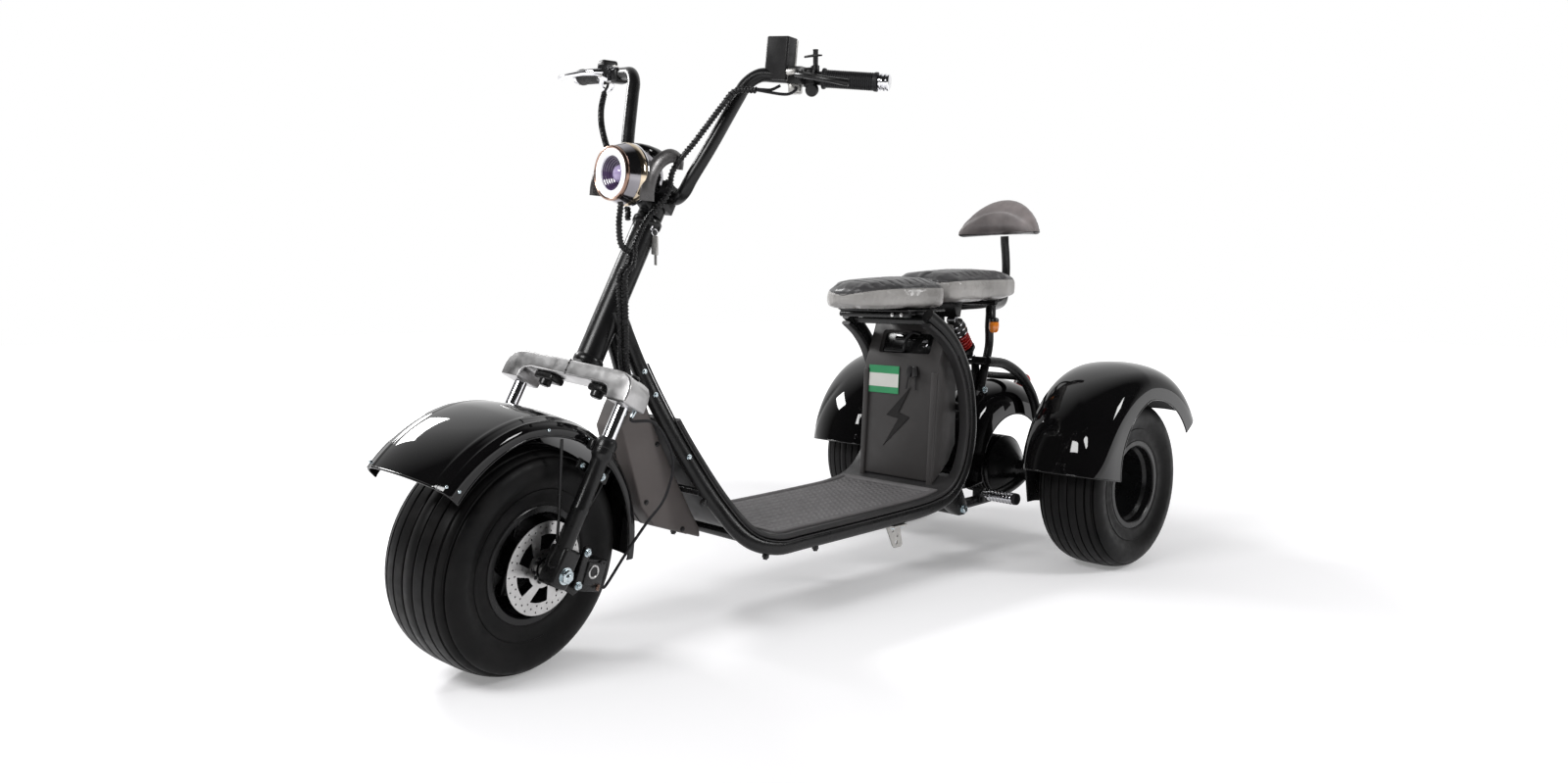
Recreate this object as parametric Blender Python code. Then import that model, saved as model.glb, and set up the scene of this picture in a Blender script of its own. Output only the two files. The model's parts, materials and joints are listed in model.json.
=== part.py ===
"""Three-wheeled electric scooter with fat tyres, in metres.

The front of the scooter looks along -Y, its left side along +X, and it stands on z = 0.
The front assembly stays turned a little to the left, as the scooter was parked.
"""

import math

import bmesh
import bpy
from mathutils import Matrix, Vector

# Overall stance
WHEELBASE = 1.586
TRACK = 0.770
FRONT_Y = -WHEELBASE / 2
REAR_Y = WHEELBASE / 2
TYRE_R = 0.228
RAKE = math.radians(28.0)
STEER = math.radians(14.2)
# The leaning front wheel stands on its shoulder, which lifts the axle this much.
STEER_LIFT = 0.0028

# Wheels
TYRE_W_FRONT = 0.190
TYRE_W_REAR = 0.178
BEAD_R = 0.112
WHEEL_STEPS = 36
RIM_STEPS = 24
RIM_GAP = 0.0008
AXLE_R = 0.010
DISC_R = 0.0915
DISC_X = 0.1030
DISC_T = 0.0020

# Fork
LEG_X = 0.141
LEG_OFF = 0.012
LUG_IN = 0.118
CROWN_S = 0.337
CROWN_TOP = 0.398

# Steering column, measured along the steering axis from the front axle
COLUMN_R = 0.014
HEAD_TUBE_R = 0.028
HEAD_TUBE_S = (0.406, 0.742)
BAR_S = 0.800
BAR_R = 0.014

# Rails and tray
RAIL_A = 0.0175
RAIL_B = 0.0150
PIVOT_BAR = 0.128
TRAY_T = 0.012
MAT_T = 0.005

# Clearances
SEAT_GAP = 0.0003
BORE_GAP = 0.0005
RUN_GAP = 0.0055

# Mudguards
GUARD_HALF = 0.113
FRONT_GUARD_HALF = 0.114
CENTRE_CROWN = 0.252

# Backrest post
POST_X = 0.085
POST_R = 0.012

PIVOT = Vector((0.0, FRONT_Y, TYRE_R + STEER_LIFT))
AXIS = Vector((0.0, math.sin(RAKE), math.cos(RAKE)))
AHEAD = Vector((0.0, -math.cos(RAKE), math.sin(RAKE)))
CALIPER_TILT = math.radians(-16.0)
CALIPER_BACK = 0.128
CALIPER_OUT = Vector((0.0, math.cos(CALIPER_TILT), math.sin(CALIPER_TILT)))
CALIPER_UP = Vector((0.0, -math.sin(CALIPER_TILT), math.cos(CALIPER_TILT)))

MATERIALS = {
    "gloss_black": ((0.006, 0.006, 0.007), 0.08, 0.0),
    "satin_black": ((0.012, 0.012, 0.013), 0.38, 0.0),
    "plastic_grey": ((0.036, 0.035, 0.037), 0.55, 0.0),
    "cover_grey": ((0.075, 0.066, 0.068), 0.60, 0.0),
    "mat_rubber": ((0.045, 0.043, 0.043), 0.80, 0.0),
    "tyre_rubber": ((0.014, 0.014, 0.015), 0.72, 0.0),
    "vinyl": ((0.040, 0.038, 0.036), 0.50, 0.0),
    "chrome": ((0.80, 0.80, 0.82), 0.12, 1.0),
    "brushed": ((0.32, 0.31, 0.31), 0.34, 1.0),
    "steel": ((0.62, 0.62, 0.63), 0.30, 1.0),
    "shock_red": ((0.45, 0.03, 0.03), 0.35, 0.0),
    "lens": ((0.85, 0.85, 0.90), 0.10, 0.0),
    "amber": ((0.90, 0.30, 0.03), 0.25, 0.0),
    "tail_red": ((0.70, 0.04, 0.03), 0.25, 0.0),
}


def clear_scene():
    for obj in list(bpy.data.objects):
        bpy.data.objects.remove(obj, do_unlink=True)


def material(name):
    found = bpy.data.materials.get(name)
    if found:
        return found
    colour, rough, metal = MATERIALS[name]
    made = bpy.data.materials.new(name)
    made.use_nodes = True
    shader = made.node_tree.nodes["Principled BSDF"]
    shader.inputs["Base Color"].default_value = (*colour, 1.0)
    shader.inputs["Roughness"].default_value = rough
    shader.inputs["Metallic"].default_value = metal
    return made


def empty(name, at, parent=None, turn=None):
    obj = bpy.data.objects.new(name, None)
    bpy.context.scene.collection.objects.link(obj)
    obj.parent = parent
    obj.location = at
    if turn:
        obj.rotation_mode = "QUATERNION"
        obj.rotation_quaternion = turn
    return obj


def solid(name, rings, mat, parent=None, loop=False):
    """One closed solid skinned over rings of points, capped at both ends or closed on itself."""
    bm = bmesh.new()
    rows = [[bm.verts.new(p) for p in ring] for ring in rings]
    pairs = list(zip(rows, rows[1:]))
    if loop:
        pairs.append((rows[-1], rows[0]))
    for first, second in pairs:
        count = len(first)
        for i in range(count):
            k = (i + 1) % count
            bm.faces.new((first[i], first[k], second[k], second[i]))
    if not loop:
        bm.faces.new(rows[0])
        bm.faces.new(rows[-1])
    bmesh.ops.recalc_face_normals(bm, faces=bm.faces)
    return finish(name, bm, mat, parent)


def finish(name, bm, mat, parent=None):
    mesh = bpy.data.meshes.new(name)
    bm.to_mesh(mesh)
    bm.free()
    mesh.materials.append(material(mat))
    obj = bpy.data.objects.new(name, mesh)
    bpy.context.scene.collection.objects.link(obj)
    obj.parent = parent
    return obj


def combine(base, tools, operation):
    """Bakes exact Booleans of tools into base and removes the tools."""
    for tool in tools:
        step = base.modifiers.new(operation.lower(), "BOOLEAN")
        step.solver = "EXACT"
        step.operation = operation
        step.object = tool
    bpy.context.view_layer.update()
    graph = bpy.context.evaluated_depsgraph_get()
    baked = bpy.data.meshes.new_from_object(base.evaluated_get(graph))
    base.modifiers.clear()
    base.data = baked
    for tool in tools:
        bpy.data.objects.remove(tool, do_unlink=True)
    return base


def fuse(base, *tools):
    return combine(base, tools, "UNION")


def cut(base, *tools):
    return combine(base, tools, "DIFFERENCE")


def soften(obj, width, segments=2, angle=35.0):
    bevel = obj.modifiers.new("edge", "BEVEL")
    bevel.width = width
    bevel.segments = segments
    bevel.limit_method = "ANGLE"
    bevel.angle_limit = math.radians(angle)
    return obj


def lathe_x(name, profile, mat, parent=None, centre=(0.0, 0.0, 0.0), steps=WHEEL_STEPS):
    """Turns a closed (x, r) outline about the X axis through centre."""
    middle = Vector(centre)
    rings = []
    for i in range(steps):
        a = 2 * math.pi * i / steps
        rings.append([middle + Vector((x, r * math.cos(a), r * math.sin(a))) for x, r in profile])
    return solid(name, rings, mat, parent, loop=True)


def frame_along(points):
    """A steady frame (side, up) at each point of a path."""
    tangents = []
    for i in range(len(points)):
        ahead = points[min(i + 1, len(points) - 1)] - points[max(i - 1, 0)]
        tangents.append(ahead.normalized())
    seed = Vector((1, 0, 0)) if abs(tangents[0].x) < 0.8 else Vector((0, 0, 1))
    side = (seed - tangents[0] * seed.dot(tangents[0])).normalized()
    frames = []
    for t in tangents:
        side = (side - t * side.dot(t)).normalized()
        frames.append((side, t.cross(side)))
    return frames


def rod(name, points, radius, mat, parent=None, sides=14, flat=1.0):
    """A round bar along points. radius is one value or one per point; flat scales across."""
    points = [Vector(p) for p in points]
    radii = radius if isinstance(radius, (list, tuple)) else [radius] * len(points)
    rings = []
    for p, r, (side, up) in zip(points, radii, frame_along(points)):
        ring = []
        for k in range(sides):
            a = 2 * math.pi * k / sides
            ring.append(p + side * (r * flat * math.cos(a)) + up * (r * math.sin(a)))
        rings.append(ring)
    return solid(name, rings, mat, parent)


def smooth(points, per=6):
    """Points of a Catmull-Rom curve through the given points."""
    pts = [Vector(p) for p in points]
    ends = [pts[0] * 2 - pts[1], *pts, pts[-1] * 2 - pts[-2]]
    out = []
    for i in range(1, len(ends) - 2):
        a, b, c, d = ends[i - 1 : i + 3]
        for k in range(per):
            t = k / per
            out.append(
                0.5
                * (
                    b * 2
                    + (c - a) * t
                    + (a * 2 - b * 5 + c * 4 - d) * t * t
                    + (b * 3 - a - c * 3 + d) * t * t * t
                )
            )
    return [*out, pts[-1]]


def prism(name, outline, x0, x1, mat, parent=None):
    """A (y, z) outline carried from x0 to x1."""
    return solid(name, [[Vector((x, y, z)) for y, z in outline] for x in (x0, x1)], mat, parent)


def box(name, low, high, mat, parent=None):
    outline = [(low[1], low[2]), (high[1], low[2]), (high[1], high[2]), (low[1], high[2])]
    return prism(name, outline, low[0], high[0], mat, parent)


def on_axis(x, s, off=0.0):
    """A point of the unturned front assembly, from the front axle: s up the axis, off ahead of it."""
    return Vector((x, 0, 0)) + AXIS * s + AHEAD * off


def raked_box(name, xs, ss, offs, mat, parent=None):
    rings = []
    for x in xs:
        rings.append([on_axis(x, s, o) for s, o in zip((ss[0], ss[1], ss[1], ss[0]), (offs[0], offs[0], offs[1], offs[1]))])
    return solid(name, rings, mat, parent)


def fore(x, y, z):
    """A point given from the front axle's height and place."""
    return Vector((x, FRONT_Y + y, TYRE_R + z))


def aft(x, y, z):
    """A point given from the rear axle's height and place."""
    return Vector((x, REAR_Y + y, TYRE_R + z))


def fore_outline(pairs):
    return [(FRONT_Y + y, TYRE_R + z) for y, z in pairs]


def aft_outline(pairs):
    return [(REAR_Y + y, TYRE_R + z) for y, z in pairs]


def mirrored(points):
    return [Vector((-p[0], p[1], p[2])) for p in points]


# Wheels


def tyre_outline(width):
    half = width / 2
    side = [
        (half - 0.0153, BEAD_R),
        (half - 0.0145, BEAD_R + 0.0066),
        (half - 0.0060, BEAD_R + 0.0150),
        (half - 0.0008, BEAD_R + 0.0360),
        (half, BEAD_R + 0.0620),
        (half - 0.0060, BEAD_R + 0.0890),
        (half - 0.0200, BEAD_R + 0.1080),
        (half - 0.0420, TYRE_R - 0.0018),
    ]
    return [*side, *[(-x, r) for x, r in reversed(side)]]


def rim_outline(width, web, hub_out, hub_in, hub_r):
    bead = width / 2 - 0.0150
    inner = BEAD_R - 0.010
    barrel = BEAD_R - RIM_GAP
    return [
        (-bead, barrel),
        (bead, barrel),
        (bead + 0.0008, barrel + 0.0050),
        (bead + 0.0040, barrel + 0.0050),
        (bead + 0.0040, inner),
        (web + 0.006, inner - 0.004),
        (web + 0.006, hub_r),
        (hub_out, hub_r),
        (hub_out, AXLE_R + BORE_GAP),
        (-hub_in, AXLE_R + BORE_GAP),
        (-hub_in, hub_r),
        (web - 0.006, hub_r),
        (web - 0.006, inner - 0.004),
        (-bead - 0.0040, inner),
        (-bead - 0.0040, barrel + 0.0050),
        (-bead - 0.0008, barrel + 0.0050),
    ]


def brake_disc(parent):
    """The front brake disc: a pierced ring carried by six spokes."""
    steps = 48
    outline = [(DISC_X, DISC_R), (DISC_X, 0.0200), (DISC_X + DISC_T, 0.0200), (DISC_X + DISC_T, DISC_R)]
    disc = lathe_x("brake_disc", outline, "steel", parent, steps=steps)
    cutters = []
    for i in range(6):
        ring = []
        a0 = math.radians(60 * i + 9)
        a1 = math.radians(60 * i + 51)
        for r, ends in ((0.066, (a0 - 0.10, a1 - 0.16)), (0.036, (a1 - 0.02, a0 + 0.10))):
            for k in range(5):
                a = ends[0] + (ends[1] - ends[0]) * k / 4
                ring.append((r * math.cos(a), r * math.sin(a)))
        cutters.append(prism(f"window{i}", ring, DISC_X - 0.01, DISC_X + 0.01, "steel", parent))
    return cut(disc, *cutters)


def front_wheel(parent):
    lathe_x("front_tyre", tyre_outline(TYRE_W_FRONT), "tyre_rubber", parent)
    hub_end = DISC_X - SEAT_GAP
    rim = rim_outline(TYRE_W_FRONT, 0.0, hub_end, hub_end, 0.034)
    lathe_x("front_rim", rim, "satin_black", parent, steps=RIM_STEPS)
    brake_disc(parent)


def rear_wheel(side, parent):
    """side is 1 for the left wheel and -1 for the right one."""
    name = "left" if side > 0 else "right"
    tyre = tyre_outline(TYRE_W_REAR)
    rim = rim_outline(TYRE_W_REAR, -0.035, 0.000, 0.085, 0.036)
    lathe_x(f"rear_{name}_tyre", [(x * side, r) for x, r in tyre], "tyre_rubber", parent)
    lathe_x(f"rear_{name}_rim", [(x * side, r) for x, r in rim], "satin_black", parent, steps=RIM_STEPS)


# Mudguards


def mudguard(name, half, side_r, crown_r, centre, angles, parent, thick=0.003, lip=0.0):
    """An arched guard. Angles run from the rear horizontal (0) over the top to the front (180)."""
    across = 6
    steps = 15
    middle = Vector(centre)
    rings = []
    for i in range(steps + 1):
        a = math.radians(angles[0] + (angles[1] - angles[0]) * i / steps)
        out, back = [], []
        for k in range(across + 1):
            t = math.pi * k / across
            x = half * math.cos(t)
            rise = math.sin(t) ** 0.75
            r = side_r + (crown_r - side_r) * rise
            inner_x = (half - thick) * math.cos(t)
            inner_r = r - thick * (0.35 + 0.65 * rise)
            out.append(middle + Vector((x, r * math.cos(a), r * math.sin(a))))
            back.append(middle + Vector((inner_x, inner_r * math.cos(a), inner_r * math.sin(a))))
        rings.append([*out, *reversed(back)])
    return solid(name, rings, "gloss_black", parent)


# Front assembly


def fork_leg(side, parent):
    name = "left" if side > 0 else "right"
    x = side * LEG_X
    spots = ((0.010, 0.0165), (0.228, 0.0165), (0.234, 0.0215), (0.262, 0.0215))
    leg = rod(f"fork_leg_{name}", [on_axis(x, s, LEG_OFF) for s, _ in spots], [r for _, r in spots], "satin_black", parent, 20)
    inner = side * LUG_IN
    outer = side * (LEG_X + 0.020)
    lug = raked_box("lug", (inner, outer), (-0.026, 0.050), (-0.0215, 0.0245), "satin_black", parent)
    nut = lathe_x("nut", [(side * 0.155, 0.001), (side * 0.155, 0.0125), (side * 0.170, 0.0125), (side * 0.170, 0.001)], "steel", parent, steps=6)
    plug = rod("plug", [(side * 0.150, 0, 0), (side * 0.172, 0, 0)], 0.0075, "steel", parent, 12)
    ear = raked_box("ear", (side * (FRONT_GUARD_HALF + SEAT_GAP), side * 0.131), (0.2365, 0.2575), (-0.0085, 0.036), "satin_black", parent)
    fuse(leg, lug, ear)
    fuse(leg, nut, plug)
    tube = [on_axis(x, s, LEG_OFF) for s in (0.262 + SEAT_GAP, CROWN_S - SEAT_GAP)]
    rod(f"stanchion_{name}", tube, 0.0140, "chrome", parent, 24)


def fork_crown(parent):
    half = [
        (0.172, CROWN_S),
        (0.172, 0.366),
        (0.161, 0.390),
        (0.142, CROWN_TOP),
    ]
    under = [(0.104, 0.366), (0.116, 0.357), (0.122, CROWN_S)]
    outline = [*half, *[(-x, s) for x, s in reversed(half)]]
    outline += [*[(-x, s) for x, s in reversed(under)], *under]
    rings = [[on_axis(x, s, off) for x, s in outline] for off in (-0.022, 0.046)]
    crown = solid("fork_crown", rings, "brushed", parent)
    soften(crown, 0.004, 3)


def stem(parent):
    spots = ((CROWN_TOP + SEAT_GAP, COLUMN_R), (0.748, COLUMN_R), (0.748, 0.027), (0.776, 0.027))
    points = [on_axis(0, s) for s, _ in spots]
    points[2] = on_axis(0, 0.7484)
    column = rod("stem", points, [r for _, r in spots], "satin_black", parent, 24)
    clamp = raked_box("clamp", (-0.034, 0.034), (0.770, 0.826), (-0.024, 0.024), "satin_black", parent)
    shelf = [(0.316, 0.6940), (0.325, 0.6985), (0.342, 0.7185), (0.365, 0.700), (0.345, 0.670)]
    fuse(column, clamp, prism("shelf", shelf, -0.014, 0.014, "satin_black", parent))
    bore = rod("bore", [on_axis(-0.05, BAR_S), on_axis(0.05, BAR_S)], BAR_R + SEAT_GAP, "satin_black", parent, 24)
    cut(column, bore)


def bar_side():
    """Left half of the handlebar's centre line, from the clamp to the grip."""
    return [
        on_axis(0.036, BAR_S),
        on_axis(0.052, BAR_S),
        Vector((0.076, 0.368, 0.722)),
        Vector((0.090, 0.372, 0.752)),
        Vector((0.115, 0.396, 0.820)),
        Vector((0.143, 0.432, 0.915)),
        Vector((0.154, 0.446, 0.948)),
        Vector((0.176, 0.460, 0.968)),
        grip_point(0.206),
    ]


def grip_point(x):
    """A point of the grip's straight line, that carries the bar's last stretch on."""
    return Vector((x, 0.505 + (x - 0.300) * 0.351, 0.970))


def bar_tube(name, radius, parent):
    """The whole bar as a tube; with a larger radius it is the bore of what clamps on it."""
    left = [*smooth(bar_side(), 3), grip_point(0.300)]
    path = [*reversed(mirrored(left)), *left]
    return rod(name, path, radius, "satin_black", parent, 10)


def handlebar(parent):
    bar_tube("handlebar", BAR_R, parent)
    for side, name in ((1, "left"), (-1, "right")):
        ends = [grip_point(x) for x in (0.300 + 0.0004, 0.306, 0.308, 0.404, 0.4045, 0.408)]
        caps = [grip_point(x) for x in (0.408 + 0.0004, 0.424, 0.430)]
        if side < 0:
            ends, caps = mirrored(ends), mirrored(caps)
        rod(f"grip_{name}", ends, [0.0205, 0.0205, 0.0170, 0.0170, 0.0190, 0.0190], "mat_rubber", parent, 20)
        rod(f"bar_end_{name}", caps, [0.0160, 0.0160, 0.0120], "chrome", parent, 20)


def lever(side, parent):
    """Clamp block and brake lever ahead of one grip."""
    name = "left" if side > 0 else "right"
    finish_name = "satin_black" if side > 0 else "chrome"
    at = grip_point(0.262)
    path = [at + Vector((0.0, -0.024, 0.002)), at + Vector((0.012, -0.040, 0.0))]
    path += [at + Vector((0.045, -0.052, -0.004)), at + Vector((0.090, -0.052, -0.010)), at + Vector((0.130, -0.036, -0.014))]
    path = [Vector((side * p.x, p.y, p.z)) for p in path]
    blade = rod(f"brake_lever_{name}", path, [0.008, 0.008, 0.0060, 0.0055, 0.0070], finish_name, parent, 10)
    c = Vector((side * at.x, at.y, at.z))
    block = box("block", c + Vector((-0.016, -0.034, -0.017)), c + Vector((0.016, 0.016, 0.017)), finish_name, parent)
    fuse(block, blade)
    block.name = f"brake_lever_{name}"
    near, far = grip_point(0.22), grip_point(0.2996)
    bore = rod("bore", [Vector((side * p.x, p.y, p.z)) for p in (near, far)], BAR_R + SEAT_GAP, finish_name, parent, 20)
    cut(block, bore)
    return block


def display(parent):
    at = grip_point(0.215)
    low = at + Vector((-0.028, -0.018, -0.010))
    high = at + Vector((0.026, 0.018, BAR_R + 0.062))
    body = soften(box("display", low, high, "plastic_grey", parent), 0.004)
    cut(body, bar_tube("bore", BAR_R + SEAT_GAP, parent))


def headlight(parent):
    """A round lamp whose face looks straight ahead of the fork."""
    centre = Vector((0.0, 0.225, 0.744))
    shell = ((0.012, 0.0560), (0.020, 0.0580), (0.060, 0.0560), (0.100, 0.0440), (0.118, 0.0220))
    points = [centre + Vector((0, y, 0)) for y, _ in shell]
    rod("headlight_housing", points, [r for _, r in shell], "chrome", parent, 32)
    face = ((0.000, 0.0500), (0.003, 0.0570), (0.012 - SEAT_GAP, 0.0570))
    rod("headlight_lens", [centre + Vector((0, y, 0)) for y, _ in face], [r for _, r in face], "lens", parent, 32)


def caliper(parent):
    """A block that straddles the rear edge of the brake disc."""
    slot = (DISC_X - RUN_GAP, DISC_X + DISC_T + RUN_GAP)
    edge = DISC_R + RUN_GAP
    outline = [
        (0.0895, 0.076),
        (slot[0], 0.076),
        (slot[0], edge),
        (slot[1], edge),
        (slot[1], 0.066),
        (0.144, 0.066),
        (0.144, CALIPER_BACK),
        (0.1010, CALIPER_BACK),
        (0.0895, 0.112),
    ]
    rings = []
    for t in (-0.032, 0.032):
        rings.append([Vector((x, 0, 0)) + CALIPER_OUT * r + CALIPER_UP * t for x, r in outline])
    body = solid("brake_caliper", rings, "satin_black", parent)
    plate = [(0.0, 0.030), (0.072, -0.004), (0.106, -0.045), (0.060, -0.065), (0.0, -0.020)]
    fuse(body, prism("plate", plate, 0.1185, 0.1265, "satin_black", parent))
    cut(body, raked_box("room", (LUG_IN - 0.001, 0.165), (-0.028, 0.052), (-0.0223, 0.03), "satin_black", parent))


def front_axle(parent):
    end = LUG_IN - SEAT_GAP
    rod("front_axle", [(-end, 0, 0), (end, 0, 0)], AXLE_R, "steel", parent, 24)


def front_guard(parent):
    mudguard("front_mudguard", FRONT_GUARD_HALF, 0.268, 0.3045, (0.0, -0.040, -0.007), (-5.5, 135.0), parent)


def brake_hose(parent):
    """The hose that hangs in a loop from the fork crown to the caliper."""
    start = [on_axis(0.160, CROWN_S - SEAT_GAP, -0.006), on_axis(0.160, 0.318, -0.009)]
    loop = [
        (0.178, 0.203, 0.270),
        (0.193, 0.239, 0.217),
        (0.199, 0.245, 0.173),
        (0.201, 0.222, 0.117),
        (0.188, 0.188, 0.070),
        (0.160, 0.168, 0.008),
    ]
    entry = Vector((0.135, 0, 0)) - CALIPER_UP * 0.020
    end = [entry + CALIPER_OUT * (CALIPER_BACK + 2 * SEAT_GAP + back) for back in (0.024, 0.012, 0.006, 0.0)]
    rod("brake_hose", smooth([*start, *loop, *end], 4), 0.0030, "satin_black", parent, 8)


def front_assembly():
    pivot = empty("steering", PIVOT, turn=Matrix.Rotation(STEER, 3, AXIS).to_quaternion())
    spin = empty("front_wheel", (0, 0, 0), pivot)
    front_wheel(spin)
    front_axle(pivot)
    for side in (1, -1):
        fork_leg(side, pivot)
        lever(side, pivot)
    fork_crown(pivot)
    stem(pivot)
    handlebar(pivot)
    display(pivot)
    headlight(pivot)
    caliper(pivot)
    front_guard(pivot)
    brake_hose(pivot)
    return pivot


# Frame


def rail_path():
    """Centre line of the left rail from the head tube, along the floor and up behind the battery."""
    return smooth(
        [
            fore(0.020, 0.2505, 0.472),
            fore(0.032, 0.297, 0.352),
            fore(0.060, 0.346, 0.233),
            fore(0.086, 0.393, 0.136),
            fore(0.118, 0.441, 0.046),
            fore(0.150, 0.49, -0.021),
            fore(0.166, 0.558, -0.048),
            fore(0.168, 0.653, -0.049),
            aft(0.168, -0.643, -0.0435),
            aft(0.168, -0.493, -0.036),
            aft(0.168, -0.411, -0.014),
            aft(0.166, -0.359, 0.034),
            aft(0.162, -0.328, 0.097),
            aft(0.159, -0.317, 0.172),
            aft(0.155, -0.329, 0.272),
            aft(0.150, -0.366, 0.354),
            aft(0.144, -0.415, 0.408),
            aft(0.138, -0.475, 0.448),
        ],
        2,
    )


def rail_frames():
    """(point, sideways, towards the rider) along the left rail."""
    path = rail_path()
    found = []
    for i, p in enumerate(path):
        step = path[min(i + 1, len(path) - 1)] - path[max(i - 1, 0)]
        flat = Vector((0, step.y, step.z)).normalized()
        found.append((p, Vector((0, -flat.z, flat.y))))
    return found


def rail(side):
    rings = []
    for p, up in rail_frames():
        ring = []
        for k in range(10):
            a = 2 * math.pi * (k + 0.5) / 10
            q = p + Vector((RAIL_B * math.cos(a), 0, 0)) + up * (RAIL_A * math.sin(a))
            ring.append(Vector((q.x * side, q.y, q.z)))
        rings.append(ring)
    return solid(f"rail{side}", rings, "satin_black")


def head_tube():
    points = [PIVOT + on_axis(0, s) for s in HEAD_TUBE_S]
    tube = rod("head_tube", points, HEAD_TUBE_R, "satin_black", None, 28)
    return tube


def cross_bar(name, y, z, half, radius=0.012):
    return rod(name, [(-half, y, z), (half, y, z)], radius, "satin_black", None, 12)


RACK = [
    (-0.461, 0.436),
    (-0.378, 0.44),
    (-0.338, 0.4755),
    (-0.313, 0.4747),
    (-0.213, 0.4767),
    (-0.103, 0.4827),
    (-0.058, 0.488),
    (-0.058, 0.493),
    (-0.103, 0.4877),
    (-0.213, 0.4817),
    (-0.313, 0.4797),
    (-0.343, 0.4795),
    (-0.383, 0.447),
    (-0.461, 0.447),
]


def main_frame():
    frame = head_tube()
    bars = [cross_bar("cross_a", FRONT_Y + 0.573, TYRE_R - 0.05, 0.166), cross_bar("cross_b", REAR_Y - 0.613, TYRE_R - 0.042, 0.168)]
    bars += [cross_bar("cross_c", REAR_Y - 0.3195, TYRE_R + 0.202, 0.158), cross_bar("cross_d", REAR_Y - 0.453, TYRE_R + 0.434, 0.140)]
    bars.append(cross_bar("cover_bar", FRONT_Y + 0.4028, TYRE_R + 0.0846, 0.101, 0.008))
    bars.append(prism("rack", aft_outline(RACK), -0.050, 0.050, "satin_black"))
    bars.append(prism("shock_lug", aft_outline([(-0.323, 0.478), (-0.283, 0.478), (-0.293, 0.4385), (-0.309, 0.4385)]), -0.078, 0.078, "satin_black"))
    bars.append(cross_bar("lamp_bar", REAR_Y - 0.153, TYRE_R + 0.4765, 0.118, 0.006))
    ear = aft_outline([(-0.433, -0.028), (-0.363, 0.027), (-0.323, -0.053), (-0.331, -0.08), (-0.357, -0.08)])
    for side in (1, -1):
        bars.append(prism("ear", ear, side * (PIVOT_BAR + SEAT_GAP), side * 0.160, "satin_black"))
    fuse(frame, rail(1), rail(-1), *bars)
    bore = [PIVOT + on_axis(0, HEAD_TUBE_S[0] - 0.02), PIVOT + on_axis(0, HEAD_TUBE_S[1] + 0.02)]
    cut(frame, rod("bore", bore, COLUMN_R + BORE_GAP, "satin_black", None, 24))
    frame.name = "main_frame"
    return frame


def strip(name, frames, thick, lift, inner, outer, side=1):
    """A flat strip on the rider's side of the rails, from x = inner(p) to outer(p)."""
    rings = []
    for p, up in frames:
        near = p + up * (RAIL_A + SEAT_GAP + lift)
        far = near + up * thick
        a, b = inner(p) * side, outer(p) * side
        ring = [(a, near), (b, near), (b, far), (a, far)]
        rings.append([Vector((x, q.y, q.z)) for x, q in ring])
    return solid(name, rings, "plastic_grey")


def tray():
    """The broad panel on the rails: leg shield and floor in one sheet, with a lip up each arc."""
    frames = rail_frames()
    rise = next(i for i, (p, _) in enumerate(frames) if p.y > 0 and p.z > TYRE_R + 0.007)
    sheet = strip("body_tray", frames[4 : rise + 1], TRAY_T, 0.0, lambda p: -p.x - 0.014, lambda p: p.x + 0.014)
    lips = []
    for side in (1, -1):
        arc = frames[rise - 1 : -1]
        lips.append(strip("lip", arc, TRAY_T - 0.001, 0.0005, lambda p: p.x - 0.0155, lambda p: p.x + 0.0135, side))
    fuse(sheet, *lips)


def floor_mat():
    rings = []
    for p, up in rail_frames():
        if p.z > TYRE_R + 0.022 or not FRONT_Y + 0.558 < p.y < REAR_Y - 0.448:
            continue
        near = p + up * (RAIL_A + TRAY_T + 2 * SEAT_GAP)
        far = near + up * MAT_T
        half = p.x - 0.004
        ring = [(-half, near), (half, near), (half, far), (-half, far)]
        rings.append([Vector((x, q.y, q.z)) for x, q in ring])
    solid("floor_mat", rings, "mat_rubber")


def battery():
    base = []
    for p, up in rail_frames():
        q = p + up * (RAIL_A + TRAY_T + 3 * SEAT_GAP)
        if q.y > REAR_Y - 0.432 and q.z < TYRE_R + 0.034:
            base.append((q.y, q.z))
    back = aft_outline([(-0.363, 0.064), (-0.337, 0.107), (-0.337, 0.362), (-0.351, 0.422), (-0.373, 0.422), (-0.401, 0.347), (-0.412, 0.317)])
    outline = [(REAR_Y - 0.432, base[0][1] - 0.0005), *base, *back]
    soften(prism("battery_box", outline, -0.127, 0.127, "plastic_grey"), 0.006, 2, 50)


def cover_box():
    """The wedge-shaped box that hangs under the leg shield."""
    outline = [
        (0.287, 0.317),
        (0.261, 0.272),
        (0.241, 0.23),
        (0.287, 0.062),
        (0.319, 0.017),
        (0.445, -0.028),
        (0.443, -0.006),
        (0.4195, 0.0345),
        (0.3714, 0.127),
        (0.3244, 0.224),
    ]
    prism("cover_box", fore_outline(outline), -0.048, 0.048, "cover_grey")


# Seats


SEAT_HINGE = Vector((0.0, REAR_Y - 0.598, TYRE_R + 0.452))
HINGE_R = 0.010
PIN_R = 0.0045
BARREL = 0.050


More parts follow.
